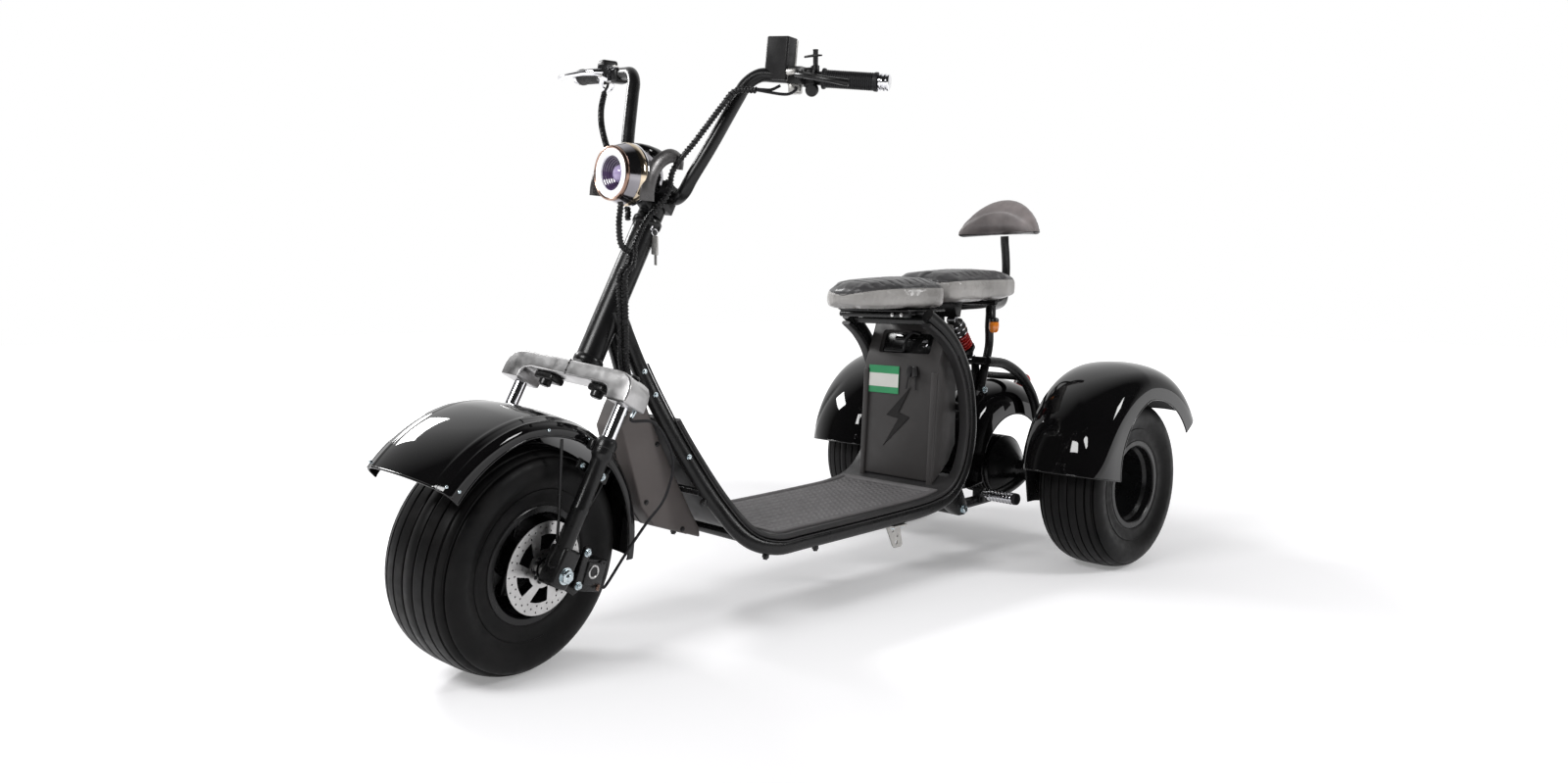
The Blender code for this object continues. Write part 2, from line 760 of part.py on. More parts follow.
def seat_bracket():
    """The plate and hinge barrel that carry the front seat."""
    y, z = SEAT_HINGE.y, SEAT_HINGE.z
    plate = box("seat_bracket", (-0.125, y + 0.055, z + 0.0042), (0.125, y + 0.220, z + 0.0102), "satin_black")
    barrel = rod("barrel", [(-BARREL, y, z), (BARREL, y, z)], HINGE_R, "satin_black", None, 20)
    web = box("web", (-BARREL + 0.0002, y + 0.002, z - 0.0055), (BARREL - 0.0002, y + 0.067, z + 0.0090), "satin_black")
    fuse(plate, barrel, web)
    cut(plate, rod("bore", [(-0.06, y, z), (0.06, y, z)], PIN_R + BORE_GAP, "satin_black", None, 20))
    foot = box("foot", (-0.100, y + 0.123, z - 0.0047), (0.100, y + 0.167, z + 0.0050), "satin_black")
    fuse(plate, foot)


def seat_pan(hinge):
    """The tipping plate under the front seat, with its two knuckles and the pin."""
    plate = box("seat_pan", (-0.100, 0.030, 0.0105), (0.100, 0.215, 0.0142), "satin_black", hinge)
    parts = [rod("pin", [(-0.080, 0, 0), (0.080, 0, 0)], PIN_R, "steel", hinge, 20)]
    for side in (1, -1):
        near, far = side * (BARREL + 0.0015), side * 0.081
        ear = [(HINGE_R * math.cos(a), HINGE_R * math.sin(a)) for a in (math.pi * (0.75 + k / 8) for k in range(7))]
        ear = [*ear, (0.009, -0.005), (0.049, 0.006), (0.049, 0.0125), (0.000, 0.0125)]
        parts.append(prism("knuckle", ear, near, far, "satin_black", hinge))
    fuse(plate, *parts)


def cushion(name, stations, mat, origin, parent=None):
    """A pad skinned over stations of (y, half width, bottom, top) from origin."""
    rings = []
    for y, half, bottom, top in stations:
        ring = []
        for k in range(16):
            a = 2 * math.pi * k / 16
            c, s = math.cos(a), math.sin(a)
            x = half * math.copysign(abs(c) ** 0.5, c)
            z = (top + bottom) / 2 + (top - bottom) / 2 * math.copysign(abs(s) ** 0.6, s)
            ring.append(origin + Vector((x, y, z)))
        rings.append(ring)
    return solid(name, rings, mat, parent)


def front_seat():
    hinge = empty("seat_hinge", SEAT_HINGE)
    stations = [
        (-0.771, 0.060, 0.476, 0.5),
        (-0.757, 0.090, 0.468, 0.514),
        (-0.723, 0.112, 0.4665, 0.524),
        (-0.643, 0.128, 0.4665, 0.535),
        (-0.543, 0.140, 0.4665, 0.543),
        (-0.453, 0.146, 0.4665, 0.547),
        (-0.398, 0.140, 0.4675, 0.544),
        (-0.381, 0.122, 0.472, 0.534),
        (-0.373, 0.090, 0.484, 0.517),
    ]
    offset = Vector((0, REAR_Y, TYRE_R)) - SEAT_HINGE
    cushion("front_seat", stations, "vinyl", offset, hinge)
    seat_pan(hinge)


def rear_seat():
    stations = [
        (-0.347, 0.070, 0.494, 0.544),
        (-0.341, 0.100, 0.484, 0.555),
        (-0.313, 0.118, 0.48, 0.562),
        (-0.213, 0.128, 0.482, 0.568),
        (-0.103, 0.128, 0.488, 0.569),
        (-0.053, 0.118, 0.494, 0.564),
        (-0.033, 0.092, 0.506, 0.55),
    ]
    cushion("rear_seat", stations, "vinyl", Vector((0, REAR_Y, TYRE_R)))


def backrest():
    """A half-dome pad on a bent post behind the rear seat."""
    rings = []
    for x in (-0.140, -0.132, -0.110, -0.075, -0.035, 0, 0.035, 0.075, 0.110, 0.132, 0.140):
        high = 0.112 * math.sqrt(max(0.02, 1 - (x / 0.142) ** 2))
        deep = 0.020 + 0.016 * math.sqrt(max(0.0, 1 - (x / 0.142) ** 2))
        base = TYRE_R + 0.668
        ring = []
        for k in range(14):
            a = 2 * math.pi * k / 14
            ring.append(Vector((x, REAR_Y + 0.049 + deep * math.cos(a), base + high / 2 + high / 2 * math.sin(a))))
        rings.append(ring)
    solid("backrest_pad", rings, "vinyl")
    route = [
        aft(0.000, 0.049, 0.6675),
        aft(0.000, 0.055, 0.622),
        aft(0.004, 0.049, 0.567),
        aft(0.018, 0.019, 0.51),
        aft(0.038, -0.029, 0.472),
        aft(0.062, -0.087, 0.432),
        aft(0.082, -0.129, 0.362),
        aft(POST_X, -0.15, 0.296),
        aft(POST_X, -0.167, 0.233),
    ]
    rod("backrest_post", smooth(route, 3), POST_R, "satin_black", None, 12)


# Rear end


def hoop(side):
    path = [
        (-0.346, -0.065),
        (-0.233, -0.065),
        (-0.093, -0.056),
        (0.007, -0.023),
        (0.059, 0.04),
        (0.073, 0.117),
        (0.049, 0.196),
        (-0.013, 0.264),
        (-0.093, 0.304),
        (-0.183, 0.317),
    ]
    return rod(f"hoop{side}", smooth([aft(side * 0.112, y, z) for y, z in path], 3), 0.014, "satin_black", None, 10)


def rear_axle():
    """Hoops, cross bars, axle tube and gear housing in one welded piece."""
    end = TRACK / 2 + 0.018
    hub_in = TRACK / 2 - 0.085 - RUN_GAP
    spots = [(-end, AXLE_R), (-hub_in, AXLE_R), (-hub_in + 0.001, 0.026), (-0.10, 0.026), (-0.07, 0.070), (-0.05, 0.084)]
    spots = [*spots, *[(-x, r) for x, r in reversed(spots)]]
    axle = rod("rear_axle", [(x, REAR_Y, TYRE_R) for x, _ in spots], [r for _, r in spots], "satin_black", None, 24)
    parts = [hoop(1), hoop(-1)]
    parts += [cross_bar("pivot_bar", REAR_Y - 0.346, TYRE_R - 0.065, PIVOT_BAR, 0.016), cross_bar("top_bar", REAR_Y - 0.181, TYRE_R + 0.317, 0.112)]
    for side in (1, -1):
        plate = aft_outline([(-0.093, -0.078), (0.057, -0.078), (0.092, 0.072), (0.069, 0.252), (-0.045, 0.252), (-0.093, 0.072)])
        face = TRACK / 2 - GUARD_HALF - SEAT_GAP
        parts.append(prism("plate", plate, side * (face - 0.005), side * face, "satin_black"))
        lug = aft_outline([(-0.227, -0.070), (-0.199, -0.070), (-0.199, -0.028), (-0.227, -0.028)])
        parts.append(prism("peg_lug", lug, side * 0.104, side * 0.1297, "satin_black"))
        arm = aft_outline([(-0.013, -0.032), (0.013, -0.032), (0.013, -0.006), (-0.013, -0.006)])
        parts.append(prism("arm", arm, side * 0.100, side * (face - 0.001), "satin_black"))
    parts.append(cross_bar("guard_bar", REAR_Y, TYRE_R + CENTRE_CROWN + SEAT_GAP + 0.010, 0.116, 0.010))
    parts.append(prism("post_lug", aft_outline([(-0.193, 0.307), (-0.165, 0.317), (-0.148, 0.242), (-0.168, 0.217), (-0.188, 0.227)]), POST_X - POST_R - SEAT_GAP - 0.006, POST_X - POST_R - SEAT_GAP, "satin_black"))
    fuse(axle, *parts)


def rear_guards():
    for side, name in ((1, "left"), (-1, "right")):
        centre = (side * TRACK / 2, REAR_Y + 0.012, TYRE_R + 0.004)
        mudguard(f"rear_{name}_mudguard", GUARD_HALF, 0.250, 0.318, centre, (33.0, 170.0), None)
    mudguard("centre_mudguard", 0.084, 0.215, CENTRE_CROWN, (0.0, REAR_Y, TYRE_R), (54.0, 189.0), None)


def shocks():
    for side, name in ((1, "left"), (-1, "right")):
        x = side * 0.060
        top = aft(x, -0.301, 0.427)
        foot = aft(x, -0.1904, 0.3249)
        way = (foot - top).normalized()
        rod(f"shock_{name}", [top, top + way * 0.03, top + way * 0.032, foot - way * 0.02, foot], [0.012, 0.012, 0.021, 0.021, 0.010], "shock_red", None, 16)


def small_parts():
    for side, name in ((1, "left"), (-1, "right")):
        spots = ((0.130, 0.010), (0.150, 0.010), (0.152, 0.016), (0.238, 0.016), (0.242, 0.013))
        rod(f"footpeg_{name}", [aft(side * x, -0.213, -0.044) for x, _ in spots], [r for _, r in spots], "chrome", None, 16)
        hang = [aft(side * 0.112, -0.153, z) for z in (0.4702, 0.434, 0.430, 0.400, 0.394)]
        rod(f"indicator_{name}", hang, [0.004, 0.004, 0.013, 0.014, 0.008], "amber", None, 12)
    outline = aft_outline([(-0.643, -0.062), (-0.593, -0.062), (-0.581, -0.124), (-0.615, -0.124)])
    flange = aft_outline([(-0.6428, -0.0652), (-0.5932, -0.0652), (-0.5932, -0.061), (-0.6428, -0.061)])
    blade = prism("stand_bracket", outline, 0.150, 0.154, "steel")
    fuse(blade, prism("flange", flange, 0.1502, 0.180, "steel"))
    out = Vector((0, math.cos(math.radians(56)), math.sin(math.radians(56))))
    hub = Vector((0, REAR_Y, TYRE_R))
    rod("tail_light", [hub + out * r for r in (0.2525, 0.290, 0.305)], [0.020, 0.024, 0.016], "tail_red", None, 16)


def main():
    clear_scene()
    front_assembly()
    main_frame()
    tray()
    floor_mat()
    battery()
    cover_box()
    seat_bracket()
    front_seat()
    rear_seat()
    backrest()
    rear_axle()
    for side, name in ((1, "left"), (-1, "right")):
        spin = empty(f"rear_{name}_wheel", (side * TRACK / 2, REAR_Y, TYRE_R))
        rear_wheel(side, spin)
    rear_guards()
    shocks()
    small_parts()


main()
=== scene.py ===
"""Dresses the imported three-wheeled electric scooter and sets it in a plain studio."""

import json
import logging
import math
from dataclasses import dataclass
from enum import Enum
from typing import Callable, Iterable, Sequence

import bmesh
import bpy
from bmesh.types import BMesh, BMFace, BMVert
from mathutils import Matrix, Vector
from mathutils.bvhtree import BVHTree


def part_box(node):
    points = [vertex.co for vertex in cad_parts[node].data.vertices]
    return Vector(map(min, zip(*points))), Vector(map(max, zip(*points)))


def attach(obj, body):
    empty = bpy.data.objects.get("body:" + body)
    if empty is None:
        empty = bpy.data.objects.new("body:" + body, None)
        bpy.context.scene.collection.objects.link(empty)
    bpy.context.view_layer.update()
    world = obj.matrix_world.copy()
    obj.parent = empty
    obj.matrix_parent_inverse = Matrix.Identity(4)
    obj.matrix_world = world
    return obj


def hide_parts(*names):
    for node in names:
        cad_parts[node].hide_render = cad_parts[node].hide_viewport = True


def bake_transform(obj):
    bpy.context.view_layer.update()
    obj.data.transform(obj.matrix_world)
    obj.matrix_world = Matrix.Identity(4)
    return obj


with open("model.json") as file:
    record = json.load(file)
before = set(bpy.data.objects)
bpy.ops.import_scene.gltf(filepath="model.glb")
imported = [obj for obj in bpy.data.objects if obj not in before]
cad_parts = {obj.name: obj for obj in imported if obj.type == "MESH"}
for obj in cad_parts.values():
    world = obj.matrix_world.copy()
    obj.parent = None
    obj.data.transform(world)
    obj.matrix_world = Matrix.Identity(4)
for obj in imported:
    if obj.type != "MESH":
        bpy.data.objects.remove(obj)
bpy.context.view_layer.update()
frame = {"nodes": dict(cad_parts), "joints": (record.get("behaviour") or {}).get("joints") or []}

logging.basicConfig(level=logging.INFO, format="%(message)s")
LOG = logging.getLogger("scooter")

Pair = tuple[float, float]
Triple = tuple[float, float, float]
SMOOTH_ANGLE = math.radians(32.0)


class Body(Enum):
    """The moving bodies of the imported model."""

    FRAME = "frame"
    FORK = "front_fork"
    FRONT_WHEEL = "front_wheel"
    REAR_LEFT = "rear_left_wheel"
    REAR_RIGHT = "rear_right_wheel"
    SEAT = "seat"


class Side(Enum):
    """The two sides of the scooter; the value is the sign of x."""

    LEFT = 1
    RIGHT = -1

    @property
    def word(self) -> str:
        """The side's name as the nodes spell it."""
        return self.name.lower()


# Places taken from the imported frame


def joint(name: str) -> dict:
    """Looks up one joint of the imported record.

    Args:
        name: The joint's name.

    Returns:
        The joint's entry, with its position and axis.
    """
    return next(j for j in frame["joints"] if j["name"] == name)


class Stance:
    """Axles, steering axis and the turned directions of the front assembly."""

    def __init__(self) -> None:
        """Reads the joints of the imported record."""
        steering = joint("steering")
        spin = joint("front_wheel_spin")
        self.pivot = Vector(steering["pos_m"])
        self.axis = Vector(steering["axis"]).normalized()
        self.across = Vector(spin["axis"]).normalized()
        self.ahead = self.across.cross(self.axis).normalized()
        rear = joint("rear_left_wheel_spin")["pos_m"]
        self.rear_axle = Vector((0.0, rear[1], rear[2]))
        self.half_track = rear[0]
        self.front_axle_y = steering["pos_m"][1]
        self.hinge = Vector(joint("seat_tilt")["pos_m"])
        sine, cosine = self.axis.y, self.axis.z
        upright = self.axis * cosine + self.ahead * sine
        back = self.axis * sine - self.ahead * cosine
        turn = Matrix((self.across, back, upright)).transposed().to_4x4()
        self.turned = Matrix.Translation(self.pivot) @ turn

    def column(self, x: float, s: float, off: float = 0.0) -> Vector:
        """A point of the front assembly.

        Args:
            x: Distance to the rider's left of the centre plane.
            s: Distance up the steering axis from the front axle.
            off: Distance ahead of the steering axis.

        Returns:
            The point in the row frame, with the front assembly as parked.
        """
        return self.pivot + self.across * x + self.axis * s + self.ahead * off

    def fork(self, x: float, y: float, z: float) -> Vector:
        """A point of the unturned front assembly, brought to its parked place.

        Args:
            x: To the rider's left of the front axle's middle.
            y: Behind it.
            z: Above it.

        Returns:
            The point in the row frame.
        """
        return self.turned @ Vector((x, y, z))

    def fore(self, x: float, y: float, z: float) -> Vector:
        """A frame point measured from the front axle, at the rear axle's height."""
        return Vector((x, self.front_axle_y + y, self.rear_axle.z + z))

    def aft(self, x: float, y: float, z: float) -> Vector:
        """A frame point measured from the middle of the rear axle."""
        return self.rear_axle + Vector((x, y, z))


STANCE = Stance()


# Materials


class Nodes:
    """A small helper that wires one node tree."""

    def __init__(self, material: bpy.types.Material) -> None:
        """Takes hold of the material's own tree."""
        material.use_nodes = True
        self.tree = material.node_tree
        self.shader = self.tree.nodes["Principled BSDF"]
        self.place = self.tree.nodes.new("ShaderNodeTexCoord").outputs["Object"]

    def add(self, kind: str, **values: object) -> bpy.types.Node:
        """Adds a node.

        Args:
            kind: The node type's name after ShaderNode.
            values: Attributes to set on the node.

        Returns:
            The new node.
        """
        node = self.tree.nodes.new(f"ShaderNode{kind}")
        for name, value in values.items():
            setattr(node, name, value)
        return node

    def feed(self, socket: bpy.types.NodeSocket, value: object) -> None:
        """Links an output, or writes a plain value, into a socket."""
        if isinstance(value, bpy.types.NodeSocket):
            self.tree.links.new(value, socket)
        else:
            socket.default_value = value

    def noise(
        self, scale: float, detail: float = 3.0, stretch: Triple = (1.0, 1.0, 1.0)
    ) -> bpy.types.NodeSocket:
        """Noise over the object.

        Args:
            scale: Waves per metre.
            detail: Octaves.
            stretch: Scale of each axis.

        Returns:
            The noise value's socket.
        """
        node = self.add("TexNoise")
        node.inputs["Scale"].default_value = scale
        node.inputs["Detail"].default_value = detail
        mapping = self.add("Mapping")
        mapping.inputs["Scale"].default_value = stretch
        self.feed(mapping.inputs["Vector"], self.place)
        self.feed(node.inputs["Vector"], mapping.outputs["Vector"])
        return node.outputs["Fac"]

    def cells(self, scale: float, feature: str = "F1") -> bpy.types.NodeSocket:
        """Cells over the object, as on leather grain.

        Args:
            scale: Cells per metre.
            feature: The Voronoi feature.

        Returns:
            The distance socket.
        """
        node = self.add("TexVoronoi", feature=feature)
        node.inputs["Scale"].default_value = scale
        self.feed(node.inputs["Vector"], self.place)
        return node.outputs["Distance"]

    def span(
        self, value: bpy.types.NodeSocket, low: float, high: float, start: float = 0.3, end: float = 0.7
    ) -> bpy.types.NodeSocket:
        """Maps a value from start..end to low..high.

        Args:
            value: The input socket.
            low: Result at start.
            high: Result at end.
            start: Input where the span begins.
            end: Input where it ends.

        Returns:
            The result's socket.
        """
        node = self.add("MapRange")
        for name, number in (("From Min", start), ("From Max", end), ("To Min", low), ("To Max", high)):
            node.inputs[name].default_value = number
        self.feed(node.inputs["Value"], value)
        return node.outputs["Result"]

    def blend(self, factor: bpy.types.NodeSocket, first: Triple, second: Triple) -> bpy.types.NodeSocket:
        """Mixes two colours.

        Args:
            factor: The share of the second colour.
            first: Linear colour at 0.
            second: Linear colour at 1.

        Returns:
            The mixed colour's socket.
        """
        node = self.add("Mix", data_type="RGBA")
        self.feed(node.inputs[0], factor)
        node.inputs[6].default_value = (*first, 1.0)
        node.inputs[7].default_value = (*second, 1.0)
        return node.outputs[2]

    def bump(
        self, height: bpy.types.NodeSocket, depth: float, strength: float = 1.0,
        under: bpy.types.NodeSocket | None = None
    ) -> bpy.types.NodeSocket:
        """Turns a height into a bump.

        Args:
            height: The height's socket.
            depth: Height of the relief in metres.
            strength: Share of the bump.
            under: A bump that this one lies on.

        Returns:
            The normal socket.
        """
        node = self.add("Bump")
        node.inputs["Strength"].default_value = strength
        node.inputs["Distance"].default_value = depth
        self.feed(node.inputs["Height"], height)
        if under:
            self.feed(node.inputs["Normal"], under)
        return node.outputs["Normal"]


@dataclass(frozen=True)
class Finish:
    """A surface finish: a base colour with patches, a grain and its gloss. The patches vary the tone at
    random; on the two lighter vinyls they are a painted sheen.

    Sizes are in metres, so a grain keeps its real scale on every piece.
    """

    name: str
    colour: Triple
    patch: Triple
    rough: Pair
    metal: float = 0.0
    patch_size: float = 0.08
    grain_size: float = 0.0012
    grain_depth: float = 0.00004
    coat: float = 0.0
    glow: float = 0.0
    gloss: float = 0.5

    def material(self) -> bpy.types.Material:
        """Returns the material, made once."""
        own_name = f"{self.name}_finish"
        found = bpy.data.materials.get(own_name)
        if found:
            return found
        made = bpy.data.materials.new(own_name)
        nodes = Nodes(made)
        shader = nodes.shader
        shader.inputs["Metallic"].default_value = self.metal
        shader.inputs["Coat Weight"].default_value = self.coat
        shader.inputs["Coat Roughness"].default_value = 0.04
        shader.inputs["Specular IOR Level"].default_value = self.gloss
        if self.glow:
            shader.inputs["Emission Color"].default_value = (*self.colour, 1.0)
            shader.inputs["Emission Strength"].default_value = self.glow
        patches = nodes.noise(1.0 / self.patch_size, 4.0)
        nodes.feed(
            shader.inputs["Base Color"], nodes.blend(nodes.span(patches, 0.0, 1.0), self.colour, self.patch)
        )
        smudge = nodes.noise(2.6 / self.patch_size, 5.0)
        nodes.feed(shader.inputs["Roughness"], nodes.span(smudge, *self.rough))
        nodes.feed(shader.inputs["Normal"], self.relief(nodes))
        return made

    def relief(self, nodes: Nodes) -> bpy.types.NodeSocket:
        """The finish's fine relief.

        Args:
            nodes: The tree being wired.

        Returns:
            The normal socket.
        """
        return nodes.bump(nodes.noise(1.0 / self.grain_size, 2.0), self.grain_depth)


@dataclass(frozen=True)
class BrushedFinish(Finish):
    """Metal with fine lines along one direction."""

    along: Triple = (1.0, 0.0, 0.0)

    def relief(self, nodes: Nodes) -> bpy.types.NodeSocket:
        """Long scratches along the brushing direction."""
        stretch = tuple(0.03 if a else 1.0 for a in self.along)
        return nodes.bump(nodes.noise(1.0 / self.grain_size, 3.0, stretch), self.grain_depth)


@dataclass(frozen=True)
class LeatherFinish(Finish):
    """Vinyl with a pebbled grain and soft creases."""

    def relief(self, nodes: Nodes) -> bpy.types.NodeSocket:
        """Pebbles from cells over slow creases."""
        creases = nodes.bump(nodes.noise(45.0, 3.0), 0.0009, 0.5)
        return nodes.bump(nodes.cells(1.0 / self.grain_size), self.grain_depth, 0.8, creases)


@dataclass(frozen=True)
class MouldedFinish(Finish):
    """Plastic with a spark-eroded, finely pitted skin."""

    def relief(self, nodes: Nodes) -> bpy.types.NodeSocket:
        """Pits from cells with a slow waviness under them."""
        waves = nodes.bump(nodes.noise(30.0, 1.0), 0.0003, 0.4)
        return nodes.bump(nodes.cells(1.0 / self.grain_size, "SMOOTH_F1"), self.grain_depth, 0.7, waves)


GLOSS_BLACK = Finish(
    "gloss_black", (0.0030, 0.0029, 0.0032), (0.0038, 0.0036, 0.0038), (0.015, 0.04),
    coat=0.22, grain_size=0.010, grain_depth=0.00001, gloss=0.26
)
SATIN_BLACK = Finish(
    "satin_black", (0.0060, 0.0060, 0.0064), (0.0090, 0.0088, 0.0090), (0.24, 0.34),
    grain_size=0.0007, grain_depth=0.00003, gloss=0.30
)
PLASTIC_BLACK = MouldedFinish(
    "plastic_black", (0.0065, 0.0065, 0.0070), (0.010, 0.0095, 0.010), (0.34, 0.46), gloss=0.30
)
TRAY_GREY = MouldedFinish(
    "tray_grey", (0.020, 0.0195, 0.020), (0.026, 0.025, 0.0255), (0.40, 0.52), grain_size=0.0010, gloss=0.28
)
BATTERY_GREY = MouldedFinish(
    "battery_grey", (0.040, 0.0375, 0.037), (0.047, 0.044, 0.0435), (0.44, 0.56),
    grain_size=0.0009, gloss=0.30
)
COVER_GREY = MouldedFinish(
    "cover_grey", (0.095, 0.083, 0.080), (0.115, 0.101, 0.097), (0.50, 0.62), gloss=0.35
)
MAT_RUBBER = MouldedFinish(
    "mat_rubber", (0.098, 0.094, 0.096), (0.118, 0.113, 0.115), (0.50, 0.66), patch_size=0.03, gloss=0.25
)
TYRE_RUBBER = Finish(
    "tyre_rubber", (0.0035, 0.0035, 0.0037), (0.0065, 0.0061, 0.0061), (0.36, 0.52),
    patch_size=0.05, grain_size=0.0016, grain_depth=0.00008, gloss=0.12
)
VINYL_TOP = LeatherFinish(
    "vinyl_top", (0.045, 0.044, 0.046), (0.055, 0.053, 0.055), (0.28, 0.40), grain_depth=0.00008
)
# Seat side bands: the top's black vinyl painted much lighter, with large lighter patches, as a painted sheen.
VINYL_SIDE_PAINTED_SHEEN = LeatherFinish(
    "vinyl_side_painted_sheen", (0.200, 0.192, 0.184), (0.440, 0.425, 0.410), (0.24, 0.32),
    patch_size=0.14, grain_depth=0.00006
)
# Backrest face: black vinyl painted lighter, with large much lighter patches, as a painted sheen.
BACKREST_FACE_PAINTED_SHEEN = LeatherFinish(
    "backrest_face_painted_sheen", (0.080, 0.070, 0.069), (0.250, 0.220, 0.217), (0.34, 0.44),
    patch_size=0.11, grain_depth=0.00006
)
GRIP_RUBBER = MouldedFinish(
    "grip_rubber", (0.0085, 0.0085, 0.0095), (0.013, 0.0125, 0.0145), (0.42, 0.56), gloss=0.25
)
CHROME = Finish(
    "chrome", (0.80, 0.80, 0.82), (0.74, 0.74, 0.77), (0.05, 0.12),
    metal=1.0, grain_size=0.010, grain_depth=0.00002
)
DARK_CHROME = Finish(
    "dark_chrome", (0.30, 0.29, 0.31), (0.24, 0.23, 0.25), (0.08, 0.16),
    metal=1.0, grain_size=0.010, grain_depth=0.00002
)
GOLD_CHROME = Finish(
    "gold_chrome", (0.66, 0.56, 0.42), (0.58, 0.48, 0.36), (0.08, 0.16),
    metal=1.0, grain_size=0.010, grain_depth=0.00002
)
BRUSHED = BrushedFinish(
    "brushed_alloy", (0.60, 0.595, 0.595), (0.44, 0.435, 0.435), (0.30, 0.42), metal=1.0, patch_size=0.05
)
STEEL = BrushedFinish(
    "satin_steel", (0.58, 0.575, 0.57), (0.50, 0.495, 0.49), (0.26, 0.38), metal=1.0, patch_size=0.03
)
ZINC = Finish("zinc_bolt", (0.60, 0.66, 0.68), (0.48, 0.56, 0.60), (0.18, 0.30), metal=1.0, patch_size=0.01)
BOLT_BLACK = Finish(
    "bolt_black", (0.012, 0.012, 0.013), (0.020, 0.019, 0.019), (0.24, 0.36), metal=0.4, patch_size=0.01
)
SHOCK_RED = Finish("shock_red", (0.33, 0.012, 0.010), (0.26, 0.010, 0.009), (0.16, 0.26), metal=0.3, coat=0.4)
BRONZE = Finish("bronze_trim", (0.34, 0.22, 0.17), (0.28, 0.18, 0.14), (0.14, 0.22), metal=1.0)
LAMP_WHITE = Finish("lamp_ring", (0.93, 0.93, 0.95), (0.90, 0.90, 0.93), (0.10, 0.16), glow=0.25, coat=0.5)
LAMP_DARK = Finish(
    "lamp_core", (0.050, 0.030, 0.075), (0.080, 0.050, 0.115), (0.06, 0.12), coat=0.8, patch_size=0.02
)
LAMP_LENS = Finish(
    "lamp_lens", (0.42, 0.35, 0.55), (0.32, 0.25, 0.46), (0.03, 0.08), coat=0.6, patch_size=0.02
)
AMBER = Finish("amber_lens", (0.75, 0.22, 0.02), (0.68, 0.19, 0.02), (0.12, 0.20), coat=0.5)
TAIL_RED = Finish("tail_lens", (0.50, 0.015, 0.012), (0.44, 0.013, 0.011), (0.12, 0.20), coat=0.5)
PERCH_SILVER = Finish(
    "perch_silver", (0.52, 0.51, 0.49), (0.44, 0.43, 0.41), (0.28, 0.40), metal=0.7, patch_size=0.02
)
BRACKET_GREY = Finish(
    "bracket_grey", (0.135, 0.130, 0.130), (0.090, 0.087, 0.087), (0.24, 0.34), metal=0.6, patch_size=0.03
)
BATTERY_RELIEF = MouldedFinish(
    "battery_relief", (0.009, 0.0082, 0.0082), (0.012, 0.011, 0.011), (0.40, 0.50), grain_size=0.0009,
    gloss=0.2
)
LABEL_GREEN = Finish("label_green", (0.020, 0.25, 0.095), (0.024, 0.28, 0.105), (0.35, 0.45))
LABEL_WHITE = Finish("label_white", (0.70, 0.70, 0.66), (0.64, 0.64, 0.60), (0.35, 0.45))


# Building blocks


def aim(at: Vector, along: Vector) -> Matrix:
    """A placement whose local z points along a direction.

    Args:
        at: Where the local origin goes.
        along: The direction of local z.

    Returns:
        The placement matrix.
    """
    return Matrix.Translation(at) @ along.to_track_quat("Z", "Y").to_matrix().to_4x4()


def basis(at: Vector, x: Vector, y: Vector) -> Matrix:
    """A placement from an origin and the directions of local x and y."""
    turn = Matrix((x.normalized(), y.normalized(), x.cross(y).normalized())).transposed().to_4x4()
    return Matrix.Translation(at) @ turn


def curve_through(points: Sequence[Vector], per: int = 6) -> list[Vector]:
    """Points of a smooth curve through the given points.

    Args:
        points: The points to pass through.
        per: Points for each stretch.

    Returns:
        The curve's points.
    """
    ends = [points[0] * 2 - points[1], *points, points[-1] * 2 - points[-2]]
    found: list[Vector] = []
    for a, b, c, d in zip(ends, ends[1:], ends[2:], ends[3:]):
        for k in range(per):
            t = k / per
            slope = (c - a) * t + (a * 2 - b * 5 + c * 4 - d) * t**2 + (b * 3 - a - c * 3 + d) * t**3
            found.append((b * 2 + slope) / 2)
    return [*found, points[-1].copy()]


def travel(points: Sequence[Vector]) -> list[Matrix]:
    """Steady frames along a path, with local z along it.

    Args:
        points: The path.

    Returns:
        One placement for each point.
    """
    frames: list[Matrix] = []
    side = Vector((1.0, 0.0, 0.0))
    for i, point in enumerate(points):
        along = (points[min(i + 1, len(points) - 1)] - points[max(i - 1, 0)]).normalized()
        if i == 0 and abs(along.x) > 0.8:
            side = Vector((0.0, 0.0, 1.0))
        side = (side - along * side.dot(along)).normalized()
        frames.append(basis(point, side, along.cross(side)))
    return frames


